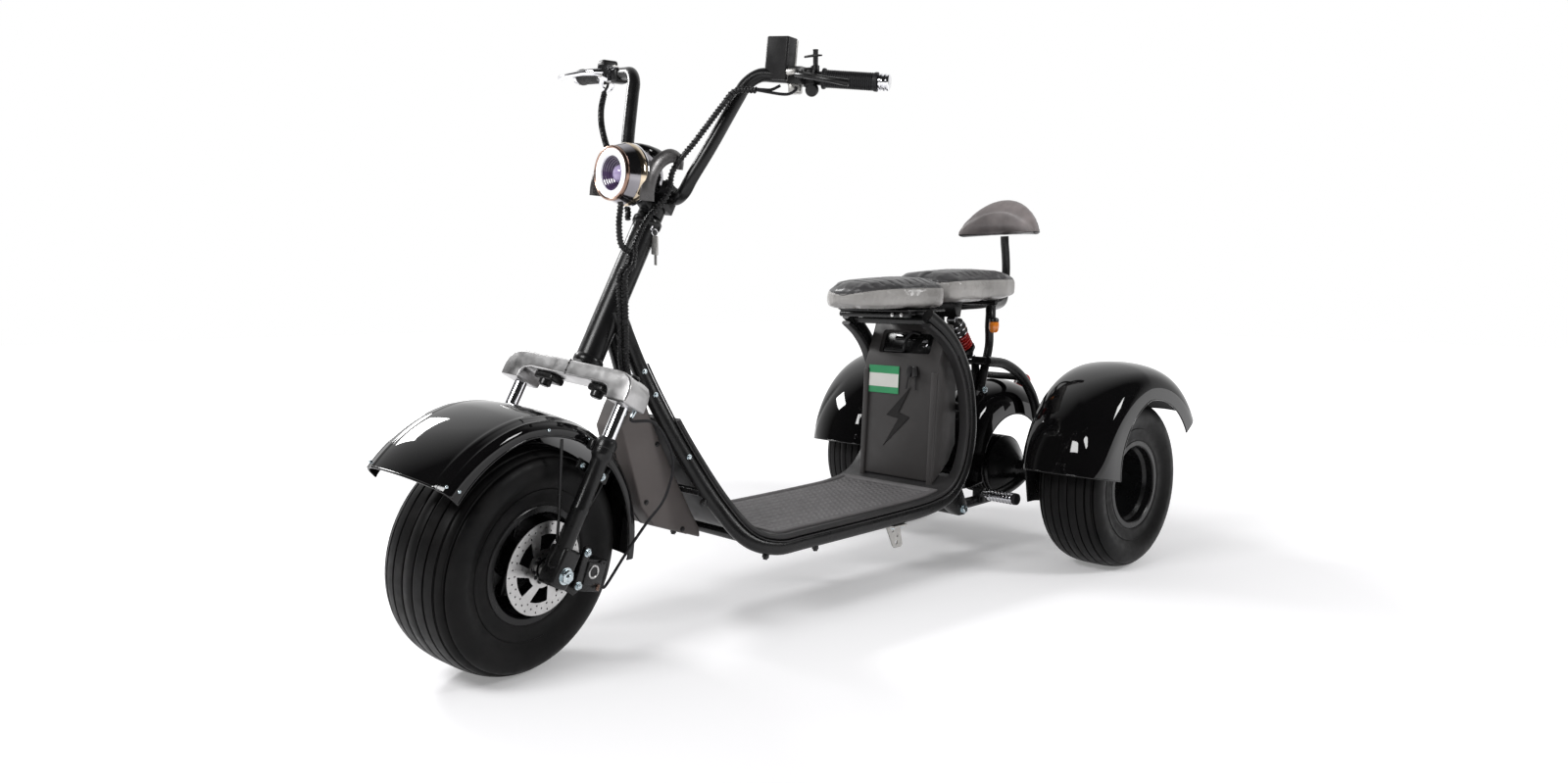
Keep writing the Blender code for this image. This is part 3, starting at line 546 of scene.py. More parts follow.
class Solid:
    """A mesh under construction, shaped by bmesh operators."""

    def __init__(self) -> None:
        """Starts an empty mesh."""
        self.bm: BMesh = bmesh.new()

    def lathe(self, profile: Sequence[Pair], place: Matrix, steps: int = 48, closed: bool = True) -> "Solid":
        """Turns an outline about the placement's z axis.

        Args:
            profile: (radius, height) pairs.
            place: Where the axis goes.
            steps: Steps of the full turn.
            closed: Whether the outline's ends meet.

        Returns:
            The solid itself.
        """
        made = bmesh.new()
        verts = [made.verts.new((r, 0.0, z)) for r, z in profile]
        edges = [made.edges.new(pair) for pair in zip(verts, verts[1:])]
        if closed:
            edges.append(made.edges.new((verts[-1], verts[0])))
        bmesh.ops.spin(
            made, geom=[*verts, *edges], cent=(0, 0, 0), axis=(0, 0, 1), angle=math.tau, steps=steps,
            use_merge=True
        )
        bmesh.ops.remove_doubles(made, verts=made.verts, dist=1e-6)
        bmesh.ops.recalc_face_normals(made, faces=made.faces)
        return self.take(made, place)

    def take(self, other: BMesh, place: Matrix | None = None) -> "Solid":
        """Adds another mesh, placed, and frees it."""
        if place is not None:
            bmesh.ops.transform(other, matrix=place, verts=other.verts)
        carried = bpy.data.meshes.new("carried")
        other.to_mesh(carried)
        other.free()
        self.bm.from_mesh(carried)
        bpy.data.meshes.remove(carried)
        return self

    def sweep(
        self, path: Sequence[Vector], radius: float | Sequence[float], sides: int = 20,
        flat: Pair = (1.0, 1.0)
    ) -> "Solid":
        """Carries a round or oval section along a path.

        Args:
            path: The centre line.
            radius: One radius, or one for each point.
            sides: Sides of the section.
            flat: Scale of the section across and up.

        Returns:
            The solid itself.
        """
        radii = [radius] * len(path) if isinstance(radius, (int, float)) else list(radius)
        frames = [
            m @ Matrix.Diagonal((r * flat[0], r * flat[1], r, 1.0)) for m, r in zip(travel(path), radii)
        ]
        made = bmesh.new()
        bmesh.ops.create_circle(made, cap_ends=True, radius=1.0, segments=sides)
        bmesh.ops.transform(made, matrix=frames[0], verts=made.verts)
        front = list(made.faces)
        for before, after in zip(frames, frames[1:]):
            grown = bmesh.ops.extrude_face_region(made, geom=front)["geom"]
            front = [g for g in grown if isinstance(g, BMFace)]
            moved = [g for g in grown if isinstance(g, BMVert)]
            bmesh.ops.transform(made, matrix=after @ before.inverted(), verts=moved)
        bmesh.ops.recalc_face_normals(made, faces=made.faces)
        return self.take(made)

    def loft(self, rings: Sequence[Sequence[Vector]]) -> "Solid":
        """Extrudes a closed ring from section to section and closes both ends.

        Args:
            rings: Sections with the same number of points.

        Returns:
            The solid itself.
        """
        made = bmesh.new()
        front = [made.verts.new(point) for point in rings[0]]
        edges = [made.edges.new(pair) for pair in zip(front, [*front[1:], front[0]])]
        first = list(front)
        for ring in rings[1:]:
            grown = bmesh.ops.extrude_edge_only(made, edges=edges)["geom"]
            fresh = {g for g in grown if isinstance(g, BMVert)}
            front = [next(e.other_vert(v) for e in v.link_edges if e.other_vert(v) in fresh) for v in front]
            edges = [made.edges.get(pair) for pair in zip(front, [*front[1:], front[0]])]
            for vert, point in zip(front, ring):
                vert.co = point
        made.faces.new(first)
        made.faces.new(front)
        bmesh.ops.recalc_face_normals(made, faces=made.faces)
        return self.take(made)

    def cut(self, cutter: "Solid") -> "Solid":
        """Removes another solid from this one.

        Args:
            cutter: The solid to take away.

        Returns:
            The solid itself.
        """
        objects = []
        for made in (self.bm, cutter.bm):
            mesh = bpy.data.meshes.new("cut")
            made.to_mesh(mesh)
            made.free()
            objects.append(bpy.data.objects.new("cut", mesh))
            bpy.context.scene.collection.objects.link(objects[-1])
        step = objects[0].modifiers.new("cut", "BOOLEAN")
        step.solver = "EXACT"
        step.use_self = True
        step.operation = "DIFFERENCE"
        step.object = objects[1]
        graph = bpy.context.evaluated_depsgraph_get()
        self.bm = bmesh.new()
        self.bm.from_mesh(objects[0].evaluated_get(graph).data)
        for made in objects:
            bpy.data.meshes.remove(made.data)
        return self

    def block(self, size: Triple, place: Matrix, round_off: float = 0.0, segments: int = 3) -> "Solid":
        """A box with rounded edges, centred on the placement.

        Args:
            size: Full size along local x, y and z.
            place: Where it goes.
            round_off: Radius of the edges.
            segments: Steps of the rounding.

        Returns:
            The solid itself.
        """
        made = bmesh.new()
        bmesh.ops.create_cube(made, size=1.0)
        bmesh.ops.scale(made, vec=size, verts=made.verts)
        if round_off:
            self.round_edges(made, round_off, segments)
        return self.take(made, place)

    @staticmethod
    def round_edges(made: BMesh, width: float, segments: int = 3, angle: float = 0.5) -> None:
        """Rounds the edges that turn by more than an angle."""
        sharp = [e for e in made.edges if len(e.link_faces) == 2 and e.calc_face_angle(0.0) > angle]
        bmesh.ops.bevel(
            made, geom=sharp, offset=width, segments=segments, affect="EDGES", profile=0.5, material=-1,
            clamp_overlap=True
        )

    def extrude(
        self, outline: Sequence[Pair], depth: float, place: Matrix, round_off: float = 0.0,
        segments: int = 2
    ) -> "Solid":
        """Gives an outline in local xy a thickness along local z.

        Args:
            outline: (x, y) pairs.
            depth: The thickness.
            place: Where it goes.
            round_off: Radius of the edges.
            segments: Steps of the rounding.

        Returns:
            The solid itself.
        """
        made = bmesh.new()
        face = made.faces.new([made.verts.new((x, y, 0.0)) for x, y in outline])
        grown = bmesh.ops.extrude_face_region(made, geom=[face])["geom"]
        bmesh.ops.translate(made, vec=(0, 0, depth), verts=[g for g in grown if isinstance(g, BMVert)])
        bmesh.ops.recalc_face_normals(made, faces=made.faces)
        if round_off:
            self.round_edges(made, round_off, segments)
        return self.take(made, place)

    def bolt(self, place: Matrix, radius: float, height: float, washer: float = 0.0) -> "Solid":
        """A hexagon head with a chamfer, on an optional washer.

        Args:
            place: Head's seat, with local z outwards.
            radius: Radius over the corners.
            height: Height of the head.
            washer: Radius of the washer, or 0.

        Returns:
            The solid itself.
        """
        lift = 0.0
        if washer:
            lift = height * 0.22
            self.lathe([(0.0002, 0.0), (washer, 0.0), (washer, lift), (0.0002, lift)], place, 24)
        made = bmesh.new()
        bmesh.ops.create_cone(made, cap_ends=True, segments=6, radius1=radius, radius2=radius, depth=height)
        self.round_edges(made, radius * 0.10, 2)
        self.take(made, place @ Matrix.Translation((0, 0, lift + height / 2)))
        made = bmesh.new()
        bmesh.ops.create_cone(
            made, cap_ends=True, segments=20, radius1=radius * 0.62, radius2=radius * 0.5,
            depth=height * 0.3
        )
        return self.take(made, place @ Matrix.Translation((0, 0, lift + height * 1.1)))

    def ball(self, at: Vector, radius: float) -> "Solid":
        """A ball around a point."""
        made = bmesh.new()
        bmesh.ops.create_uvsphere(made, u_segments=24, v_segments=14, radius=radius)
        return self.take(made, Matrix.Translation(at))

    def copy_node(self, node: str) -> "Solid":
        """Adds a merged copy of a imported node's mesh."""
        made = bmesh.new()
        made.from_mesh(frame["nodes"][node].data)
        bmesh.ops.remove_doubles(made, verts=made.verts, dist=2e-5)
        bmesh.ops.dissolve_limit(made, angle_limit=math.radians(0.8), verts=made.verts, edges=made.edges)
        return self.take(made)

    def piece(
        self,
        name: str,
        body: Body | None,
        finish: Finish,
        replaces: Iterable[str] = (),
        slot: str | None = None,
        smooth: float = SMOOTH_ANGLE,
    ) -> bpy.types.Object:
        """Turns the mesh into a finished piece.

        Args:
            name: The piece's name.
            body: The body that it rides on, or nothing, which leaves it on no body.
            finish: Its surface finish.
            replaces: Nodes that it stands for.
            slot: The record's material slot; not used.
            smooth: Edges that turn more than this stay sharp.

        Returns:
            The piece.
        """
        mesh = bpy.data.meshes.new(name)
        self.bm.to_mesh(mesh)
        self.bm.free()
        mesh.shade_smooth()
        mesh.set_sharp_from_angle(angle=smooth)
        mesh.materials.append(finish.material())
        made = bpy.data.objects.new(name, mesh)
        bpy.context.scene.collection.objects.link(made)
        if body:
            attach(made, body.value)
        if replaces:
            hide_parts(*replaces)
        LOG.info("%s: %d faces on %s", name, len(mesh.polygons), body.value if body else "two bodies")
        return made


# Wheels


@dataclass(frozen=True)
class Tyre:
    """A fat tyre with grooves that run round it."""

    width: float
    radius: float
    bead_radius: float
    grooves: tuple[float, ...]
    groove_width: float = 0.0042
    groove_depth: float = 0.0048
    fullness: float = 3.2
    steps: int = 120

    def crown(self, x: float) -> float:
        """The tyre's outer radius at a distance from its middle plane."""
        half = self.width / 2
        waist = self.bead_radius + (self.radius - self.bead_radius) * 0.53
        share = max(0.0, 1 - (abs(x) / half) ** self.fullness) ** (1 / self.fullness)
        return waist + (self.radius - waist) * share

    def half_profile(self) -> list[Pair]:
        """(radius, x) from the middle plane to the bead, with the grooves cut."""
        half = self.width / 2
        spots = {0.0, *[half * math.sin(math.radians(a)) for a in range(6, 88, 5)]}
        spots = {x for x in spots if all(abs(x - g) > self.groove_width * 0.9 for g in self.grooves)}
        found = [(self.crown(x), x) for x in spots]
        for g in self.grooves:
            slope = min(1.0, (self.crown(g - 0.004) - self.crown(g + 0.004)) / 0.008)
            for share, deep in (
                (-0.62, 0.0), (-0.40, 0.16), (-0.24, 0.94), (0.24, 0.94), (0.40, 0.16), (0.62, 0.0)
            ):
                x = g + share * self.groove_width
                lean = 1 / math.sqrt(1 + slope**2)
                drop = deep * self.groove_depth
                found.append((self.crown(x) - drop * lean, x - drop * slope * lean))
        found.sort(key=lambda spot: spot[1])
        waist = self.bead_radius + (self.radius - self.bead_radius) * 0.53
        wall = (
            (0.0, 1.0), (0.006, 0.80), (0.010, 0.62), (0.0085, 0.60), (0.013, 0.40), (0.010, 0.22),
            (0.012, 0.10)
        )
        for inset, share in wall:
            found.append((self.bead_radius + (waist - self.bead_radius) * share, half - inset))
        return [*found, (self.bead_radius, half - 0.0155)]

    def build(self, name: str, body: Body, place: Matrix, node: str) -> None:
        """Turns the tyre and puts it on its wheel.

        Args:
            name: The piece's name.
            body: The wheel's body.
            place: The wheel's centre, with local z along its axle.
            node: The node that the tyre stands for.
        """
        side = self.half_profile()
        mirrored = [(r, -x) for r, x in reversed(side) if x > 1e-9]
        solid = Solid().lathe([*side, *mirrored], place, self.steps)
        solid.piece(name, body, TYRE_RUBBER, [node], "tyre_rubber", math.radians(40))


@dataclass(frozen=True)
class Rim:
    """A black steel rim with a web, hub, ribs and bolts."""

    bead_radius: float
    bead_half: float
    web: float
    hub_out: float
    hub_in: float
    hub_radius: float
    well: float = 0.0100
    bore: float = 0.0105
    ribs: int = 6

    def profile(self) -> list[Pair]:
        """(radius, x) round the rim's section."""
        barrel = self.bead_radius - 0.0008
        inner = barrel - self.well
        lip = barrel + 0.0050
        edge = self.bead_half + 0.0040
        out = [
            (barrel, self.bead_half), (lip, self.bead_half + 0.0010), (lip + 0.0006, edge - 0.001),
            (lip - 0.0010, edge), (inner + 0.003, edge), (inner, edge - 0.003),
            (inner - 0.002, self.bead_half - 0.016), (inner - 0.009, self.bead_half - 0.024),
            (inner - 0.011, self.web + 0.022), (inner - 0.020, self.web + 0.008),
            (self.hub_radius + 0.030, self.web + 0.004), (self.hub_radius + 0.008, self.web + 0.010),
            (self.hub_radius, self.web + 0.020), (self.hub_radius, self.hub_out - 0.002),
            (self.hub_radius - 0.002, self.hub_out), (self.bore, self.hub_out),
            (self.bore, -self.hub_in), (self.hub_radius - 0.002, -self.hub_in),
            (self.hub_radius, 0.002 - self.hub_in), (self.hub_radius, self.web - 0.012),
            (self.hub_radius + 0.006, self.web - 0.005), (inner - 0.020, self.web - 0.001),
            (inner - 0.011, self.web - 0.016), (inner - 0.009, 0.024 - self.bead_half),
            (inner - 0.002, 0.016 - self.bead_half), (inner, 0.003 - edge), (inner + 0.003, -edge),
            (lip - 0.0010, -edge), (lip + 0.0006, 0.001 - edge)
        ]
        return [*out, (lip, -self.bead_half - 0.0010), (barrel, -self.bead_half)]

    def build(self, name: str, body: Body, place: Matrix, node: str) -> None:
        """Turns the rim and adds its ribs, web bolts and valve.

        Args:
            name: The piece's name.
            body: The wheel's body.
            place: The wheel's centre, with local z to the outside.
            node: The node that the rim stands for.
        """
        solid = Solid().lathe(self.profile(), place, 96)
        reach = self.bead_radius - self.well - 0.022
        for k in range(self.ribs):
            turn = place @ Matrix.Rotation(math.tau * k / self.ribs + 0.3, 4, "Z")
            middle = (self.hub_radius + reach) / 2
            rib = Matrix.Translation((middle, 0, self.web + 0.009))
            solid.block((reach - self.hub_radius, 0.012, 0.014), turn @ rib, 0.003)
        solid.piece(name, body, SATIN_BLACK, [node], "satin_black")
        hardware = Solid()
        valve = place @ Matrix.Translation((self.bead_radius - 0.018, 0, self.web + 0.010))
        hardware.lathe(
            [
                (0.0003, 0.0), (0.005, 0.0), (0.005, 0.008), (0.0032, 0.010), (0.0032, 0.030),
                (0.0003, 0.031)
            ],
            valve, 16
        )
        for k in range(5):
            turn = place @ Matrix.Rotation(math.tau * k / 5, 4, "Z")
            hardware.bolt(
                turn @ Matrix.Translation((self.hub_radius * 0.72, 0, self.hub_out)), 0.0045, 0.0030
            )
        hardware.piece(f"{name}_hardware", body, BOLT_BLACK)


@dataclass(frozen=True)
class BrakeDisc:
    """The drilled front disc on its six spokes."""

    radius: float
    thickness: float = 0.0020
    ring_inner: float = 0.067
    hub: float = 0.020
    holes: int = 36

    def build(self, place: Matrix) -> None:
        """Cuts the windows and the holes and fixes the disc to the hub.

        Args:
            place: The disc's inner face, with local z to the outside.
        """
        t = self.thickness
        disc = Solid().lathe(
            [(self.hub, 0.0), (self.radius, 0.0), (self.radius, t), (self.hub, t)], place, 120
        )
        cutter = Solid()
        for i in range(6):
            cutter.extrude(self.window(i), 3 * t, place @ Matrix.Translation((0, 0, -t)))
        for k in range(self.holes):
            for row, radius in enumerate((0.0725, 0.0790, 0.0855)):
                if (k + row) % 2:
                    continue
                turn = place @ Matrix.Rotation(math.tau * k / self.holes, 4, "Z")
                made = bmesh.new()
                bmesh.ops.create_cone(
                    made, cap_ends=True, segments=12, radius1=0.0019, radius2=0.0019, depth=4 * t
                )
                cutter.take(made, turn @ Matrix.Translation((radius, 0, t / 2)))
        disc.cut(cutter)
        disc.piece("disc_rotor", Body.FRONT_WHEEL, STEEL, ["brake_disc"], "steel")
        bolts = Solid()
        for k in range(6):
            turn = place @ Matrix.Rotation(math.tau * k / 6 + 0.12, 4, "Z")
            bolts.bolt(turn @ Matrix.Translation((0.026, 0, t)), 0.0042, 0.0028)
        bolts.piece("disc_bolts", Body.FRONT_WHEEL, BOLT_BLACK)

    def window(self, index: int) -> list[Pair]:
        """Outline of one window between two raked spokes."""
        start, end = math.radians(60 * index + 9), math.radians(60 * index + 51)
        found: list[Pair] = []
        for radius, first, last in (
            (self.ring_inner, start - 0.12, end - 0.18), (0.038, end - 0.04, start + 0.12)
        ):
            for k in range(9):
                a = first + (last - first) * k / 8
                found.append((radius * math.cos(a), radius * math.sin(a)))
        return found


@dataclass
class Wheels:
    """All three wheels."""

    front_width: float = 0.190
    bead: float = 0.112
    disc_face: float = 0.1030
    disc_radius: float = 0.0915

    def __post_init__(self) -> None:
        """Reads the rear tyres' sizes from their nodes."""
        low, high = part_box("rear_left_tyre")
        self.radius = (high.z - low.z) / 2
        self.rear_width = high.x - low.x

    def build(self) -> None:
        """Builds the front wheel with its disc and the two rear wheels."""
        front = aim(STANCE.pivot, STANCE.across)
        Tyre(self.front_width, self.radius, self.bead, (0.0135, 0.0405, 0.0640, 0.0815)).build(
            "front_tyre_rubber", Body.FRONT_WHEEL, front, "front_tyre"
        )
        hub = self.disc_face - 0.0003
        Rim(self.bead, self.front_width / 2 - 0.015, 0.0, hub, hub, 0.034).build(
            "front_rim_steel", Body.FRONT_WHEEL, front, "front_rim"
        )
        BrakeDisc(self.disc_radius).build(front @ Matrix.Translation((0, 0, self.disc_face)))
        for side, body in ((Side.LEFT, Body.REAR_LEFT), (Side.RIGHT, Body.REAR_RIGHT)):
            centre = STANCE.aft(side.value * STANCE.half_track, 0, 0)
            place = aim(centre, Vector((side.value, 0, 0)))
            Tyre(self.rear_width, self.radius, self.bead, (0.0120, 0.0360, 0.0590, 0.0770)).build(
                f"rear_{side.word}_tyre_rubber", body, place, f"rear_{side.word}_tyre"
            )
            Rim(self.bead, self.rear_width / 2 - 0.015, -0.035, 0.0, 0.085, 0.036, ribs=5).build(
                f"rear_{side.word}_rim_steel", body, place, f"rear_{side.word}_rim"
            )


# Front assembly


def raked(x: float, s: float, off: float) -> Matrix:
    """A placement on the steering column, with local axes across, up the column and ahead.

    Args:
        x: Distance to the rider's left.
        s: Distance up the steering axis.
        off: Distance ahead of the axis.

    Returns:
        The placement.
    """
    return basis(STANCE.column(x, s, off), STANCE.across, STANCE.axis)


def shift(x: float = 0.0, y: float = 0.0, z: float = 0.0) -> Matrix:
    """A plain move."""
    return Matrix.Translation((x, y, z))


@dataclass(frozen=True)
class Guard:
    """A deep arched mudguard with rolled edges, pressed ridges and folded creases.

    halves and sides belong to +x and to -x. Each radius pair holds at the top of the arch and at its
    front end.
    """

    halves: Pair
    sides: tuple[Pair, Pair]
    crown: Pair
    start: float
    end: float
    ridges: tuple[float, ...] = ()
    creases: tuple[tuple[Pair, Pair], ...] = ()
    ridge_height: float = 0.0016
    ridge_width: float = 0.035
    crease_depth: float = 0.0035
    crease_width: float = 0.050
    thick: float = 0.003
    across: int = 60
    steps: int = 84

    @staticmethod
    def fallen(pair: Pair, a: float) -> float:
        """Goes from the first radius at the top of the arch to the second at its front end."""
        share = max(0.0, (math.degrees(a) - 95.0) / 75.0)
        return pair[0] + (pair[1] - pair[0]) * share

    def plain(self, t: float, a: float) -> tuple[float, float, float]:
        """(x, radius, rise) of the skin without ridges at an angle across and an angle round."""
        hand = 0 if math.cos(t) > 0 else 1
        rise = max(0.0, math.sin(t)) ** 0.45
        low = self.fallen(self.sides[hand], a)
        return self.halves[hand] * math.cos(t), low + (self.fallen(self.crown, a) - low) * rise, rise

    def fold(self, t: float, a: float) -> float:
        """Depth of the folded creases: straight lines between two (across, round) angles."""
        deep = 0.0
        for start, end in self.creases:
            a0, a1 = math.radians(start[1]), math.radians(end[1])
            share = (a - a0) / (a1 - a0)
            if 0.0 <= share <= 1.0:
                line = math.radians(start[0] + (end[0] - start[0]) * share)
                fade = min(1.0, 4 * share, 4 * (1 - share) + 0.3)
                deep += self.crease_depth * fade * math.exp(-abs((t - line) / self.crease_width))
        return deep

    def outer(self, t: float, a: float) -> Pair:
        """(x, radius) of the outer skin at an angle across and an angle round."""
        x, radius, _ = self.plain(t, a)
        for ridge in self.ridges:
            for centre in (ridge, math.pi - ridge):
                radius += self.ridge_height * math.exp(-(((t - centre) / self.ridge_width) ** 2))
        return x, radius - self.fold(t, a)

    def section(self, a: float) -> list[Triple]:
        """One closed ring of the shell at an angle round the wheel."""
        out, back = [], []
        for k in range(self.across + 1):
            t = math.pi * k / self.across
            x, radius = self.outer(t, a)
            out.append((x, radius * math.cos(a), radius * math.sin(a)))
            x, radius, rise = self.plain(t, a)
            inner = radius - self.fold(t, a) - self.thick * (0.35 + 0.65 * rise)
            x -= math.copysign(self.thick, x) * abs(math.cos(t))
            back.append((x, inner * math.cos(a), inner * math.sin(a)))
        return [*out, *reversed(back)]

    def angle(self, share: float) -> float:
        """The angle round the wheel at a share of the guard's length."""
        return math.radians(self.start + (self.end - self.start) * share)

    def build(self, name: str, body: Body, place: Matrix, node: str) -> None:
        """Builds the shell and its rolled edges.

        Args:
            name: The piece's name.
            body: Its body.
            place: The guard's centre, with local y to the rear and z up.
            node: The node that it stands for.
        """
        rings = [
            [place @ Vector(p) for p in self.section(self.angle(i / self.steps))]
            for i in range(self.steps + 1)
        ]
        solid = Solid().loft(rings)
        for hand, side in ((0, 1), (1, -1)):
            edge = []
            for i in range(self.steps + 1):
                a = self.angle(i / self.steps)
                r = self.fallen(self.sides[hand], a)
                edge.append(
                    place @ Vector((side * (self.halves[hand] - 0.0012), r * math.cos(a), r * math.sin(a)))
                )
            solid.sweep(edge, 0.0024, 10)
        for share in (0.0, 1.0):
            a = self.angle(share)
            lip = [self.outer(math.pi * k / 60, a) for k in range(61)]
            points = [
                Vector((x * 0.985, (r - 0.0016) * math.cos(a), (r - 0.0016) * math.sin(a))) for x, r in lip
            ]
            solid.sweep([place @ point for point in points], 0.0024, 10)
        solid.piece(name, body, GLOSS_BLACK, [node], "gloss_black", math.radians(50))


@dataclass(frozen=True)
class Fork:
    """Legs, stanchions, crown, axle, front guard, caliper and hose."""

    leg_x: float = 0.141
    leg_off: float = 0.012
    crown_s: float = 0.337
    crown_top: float = 0.398
    caliper_tilt: float = math.radians(-16.0)

    def build(self) -> None:
        """Builds every piece of the fork."""
        self.legs()
        self.crown()
        self.axle()
        self.guard()
        self.stays()
        self.caliper()
        self.column()
        self.hose()

    def legs(self) -> None:
        """Turned legs with seals, lugs and chrome stanchions."""
        profile = [
            (0.0004, 0.004), (0.0120, 0.004), (0.0158, 0.008), (0.0165, 0.012), (0.0165, 0.118),
            (0.0171, 0.121), (0.0171, 0.126), (0.0165, 0.129), (0.0165, 0.222), (0.0176, 0.227),
            (0.0208, 0.232), (0.0215, 0.235), (0.0215, 0.244), (0.0205, 0.2455), (0.0205, 0.2475),
            (0.0215, 0.249), (0.0215, 0.258), (0.0206, 0.2615), (0.0004, 0.2618)
        ]
        for side in Side:
            place = aim(STANCE.column(side.value * self.leg_x, 0, self.leg_off), STANCE.axis)
            leg = Solid().lathe(profile, place, 48, closed=False)
            lug = raked(side.value * 0.1395, 0.012, 0.0015)
            leg.block((0.043, 0.076, 0.046), lug, 0.007)
            leg.block((0.0165, 0.021, 0.0445), raked(side.value * 0.1226, 0.247, 0.0138), 0.004)
            leg.piece(
                f"leg_{side.word}_casting", Body.FORK, SATIN_BLACK, [f"fork_leg_{side.word}"], "satin_black"
            )
            wiper = Solid().lathe(
                [(0.0143, 0.2612), (0.0192, 0.2612), (0.0192, 0.2640), (0.0160, 0.2690), (0.0143, 0.2695)],
                place, 40
            )
            wiper.piece(f"leg_{side.word}_wiper", Body.FORK, GRIP_RUBBER)
            tube = Solid().lathe(
                [(0.0004, 0.2623), (0.0140, 0.2623), (0.0140, self.crown_s), (0.0004, self.crown_s)], place,
                48, closed=False
            )
            tube.piece(f"stanchion_{side.word}_tube", Body.FORK, CHROME, [f"stanchion_{side.word}"], "chrome")

    def crown(self) -> None:
        """The brushed crown with turned-down ends, a seam and bolts."""
        half = [
            (0.1725, self.crown_s), (0.1725, 0.363), (0.1690, 0.377), (0.1600, 0.389), (0.1460, 0.3955),
            (0.1300, self.crown_top)
        ]
        under = [(0.1000, 0.366), (0.1120, 0.3625), (0.1190, 0.3530), (0.1220, self.crown_s)]
        outline = [
            *half, *[(-x, s) for x, s in reversed(half)], *[(-x, s) for x, s in reversed(under)], *under
        ]
        crown = Solid().extrude(outline, 0.068, raked(0, 0, -0.022), 0.0045, 4)
        crown.piece("crown_casting", Body.FORK, BRUSHED, ["fork_crown"], "brushed")
        seam = Solid()
        seam.block((0.0012, 0.033, 0.0692), raked(-0.002, 0.3828, 0.012), 0.0003, 1)
        for s in (0.374, 0.390):
            seam.lathe(
                [(0.0003, 0), (0.0022, 0), (0.0022, 0.0009), (0.0003, 0.0009)], raked(-0.002, s, 0.0457), 16
            )
        seam.piece("crown_seam", Body.FORK, BOLT_BLACK)
        under_parts = Solid()
        for x, wide in ((-0.072, 0.052), (0.072, 0.040)):
            under_parts.block((wide, 0.015, 0.040), raked(x, 0.3585, 0.010), 0.005)
            under_parts.lathe(
                [(0.0003, 0), (0.013, 0), (0.013, 0.010), (0.009, 0.013), (0.0003, 0.013)],
                raked(x, 0.352, 0.016) @ Matrix.Rotation(math.pi / 2, 4, "X"), 24
            )
        under_parts.piece("crown_stops", Body.FORK, BOLT_BLACK)
        caps = Solid()
        for side in Side:
            place = aim(STANCE.column(side.value * self.leg_x, 0.3955, self.leg_off), STANCE.axis)
            caps.lathe(
                [
                    (0.0003, 0), (0.0125, 0), (0.0125, 0.003), (0.0105, 0.0050), (0.0055, 0.0052),
                    (0.0050, 0.0022), (0.0003, 0.0022)
                ],
                place, 32
            )
        caps.piece("crown_caps", Body.FORK, BOLT_BLACK)

    def axle(self) -> None:
        """The axle with its nuts, washers and spacers."""
        across = aim(STANCE.pivot, STANCE.across)
        bar = Solid().lathe(
            [(0.0003, -0.1177), (0.0100, -0.1177), (0.0100, 0.1177), (0.0003, 0.1177)], across, 32,
            closed=False
        )
        bar.piece("axle_bar", Body.FORK, ZINC, ["front_axle"], "steel")
        nuts = Solid()
        for side in Side:
            outwards = aim(STANCE.pivot + STANCE.across * (side.value * 0.1608), STANCE.across * side.value)
            nuts.lathe([(0.0003, 0), (0.0165, 0), (0.0165, 0.0018), (0.0003, 0.0018)], outwards, 32)
            nuts.bolt(outwards @ shift(z=0.0018), 0.0138, 0.0085)
            nuts.lathe(
                [(0.0003, 0), (0.0062, 0), (0.0062, 0.0030), (0.0050, 0.0040), (0.0003, 0.0040)],
                outwards @ shift(z=0.0103), 24
            )
        nuts.piece("axle_nuts", Body.FORK, ZINC)
        spacers = Solid()
        for side in Side:
            outwards = aim(STANCE.pivot + STANCE.across * (side.value * 0.1060), STANCE.across * side.value)
            spacers.lathe([(0.0102, 0), (0.0160, 0), (0.0160, 0.0115), (0.0102, 0.0115)], outwards, 28)
        spacers.piece("axle_spacers", Body.FORK, STEEL)

    def guard(self) -> None:
        """The front mudguard with its two pressed ridges a side."""
        place = STANCE.turned @ shift(0, -0.040, -0.007)
        side = (0.268, 0.228)
        ridges = (math.radians(24), math.radians(42))
        guard = Guard((0.114, 0.114), (side, side), (0.3045, 0.284), -5.5, 135.0, ridges)
        guard.build("front_guard_shell", Body.FORK, place, "front_mudguard")
        studs = Solid()
        for across, a in ((26.0, 133.0), (4.0, 131.5), (4.0, 85.0), (4.0, 62.0)):
            for t in (math.radians(across), math.radians(180 - across)):
                angle = math.radians(a)
                x, r = guard.outer(t, angle)
                at = place @ Vector((x, r * math.cos(angle), r * math.sin(angle)))
                out = place.to_3x3() @ Vector(
                    (math.cos(t), math.sin(t) * math.cos(angle), math.sin(t) * math.sin(angle))
                )
                studs.ball(at + out * 0.0008, 0.0034)
        studs.piece("front_guard_rivets", Body.FORK, ZINC)

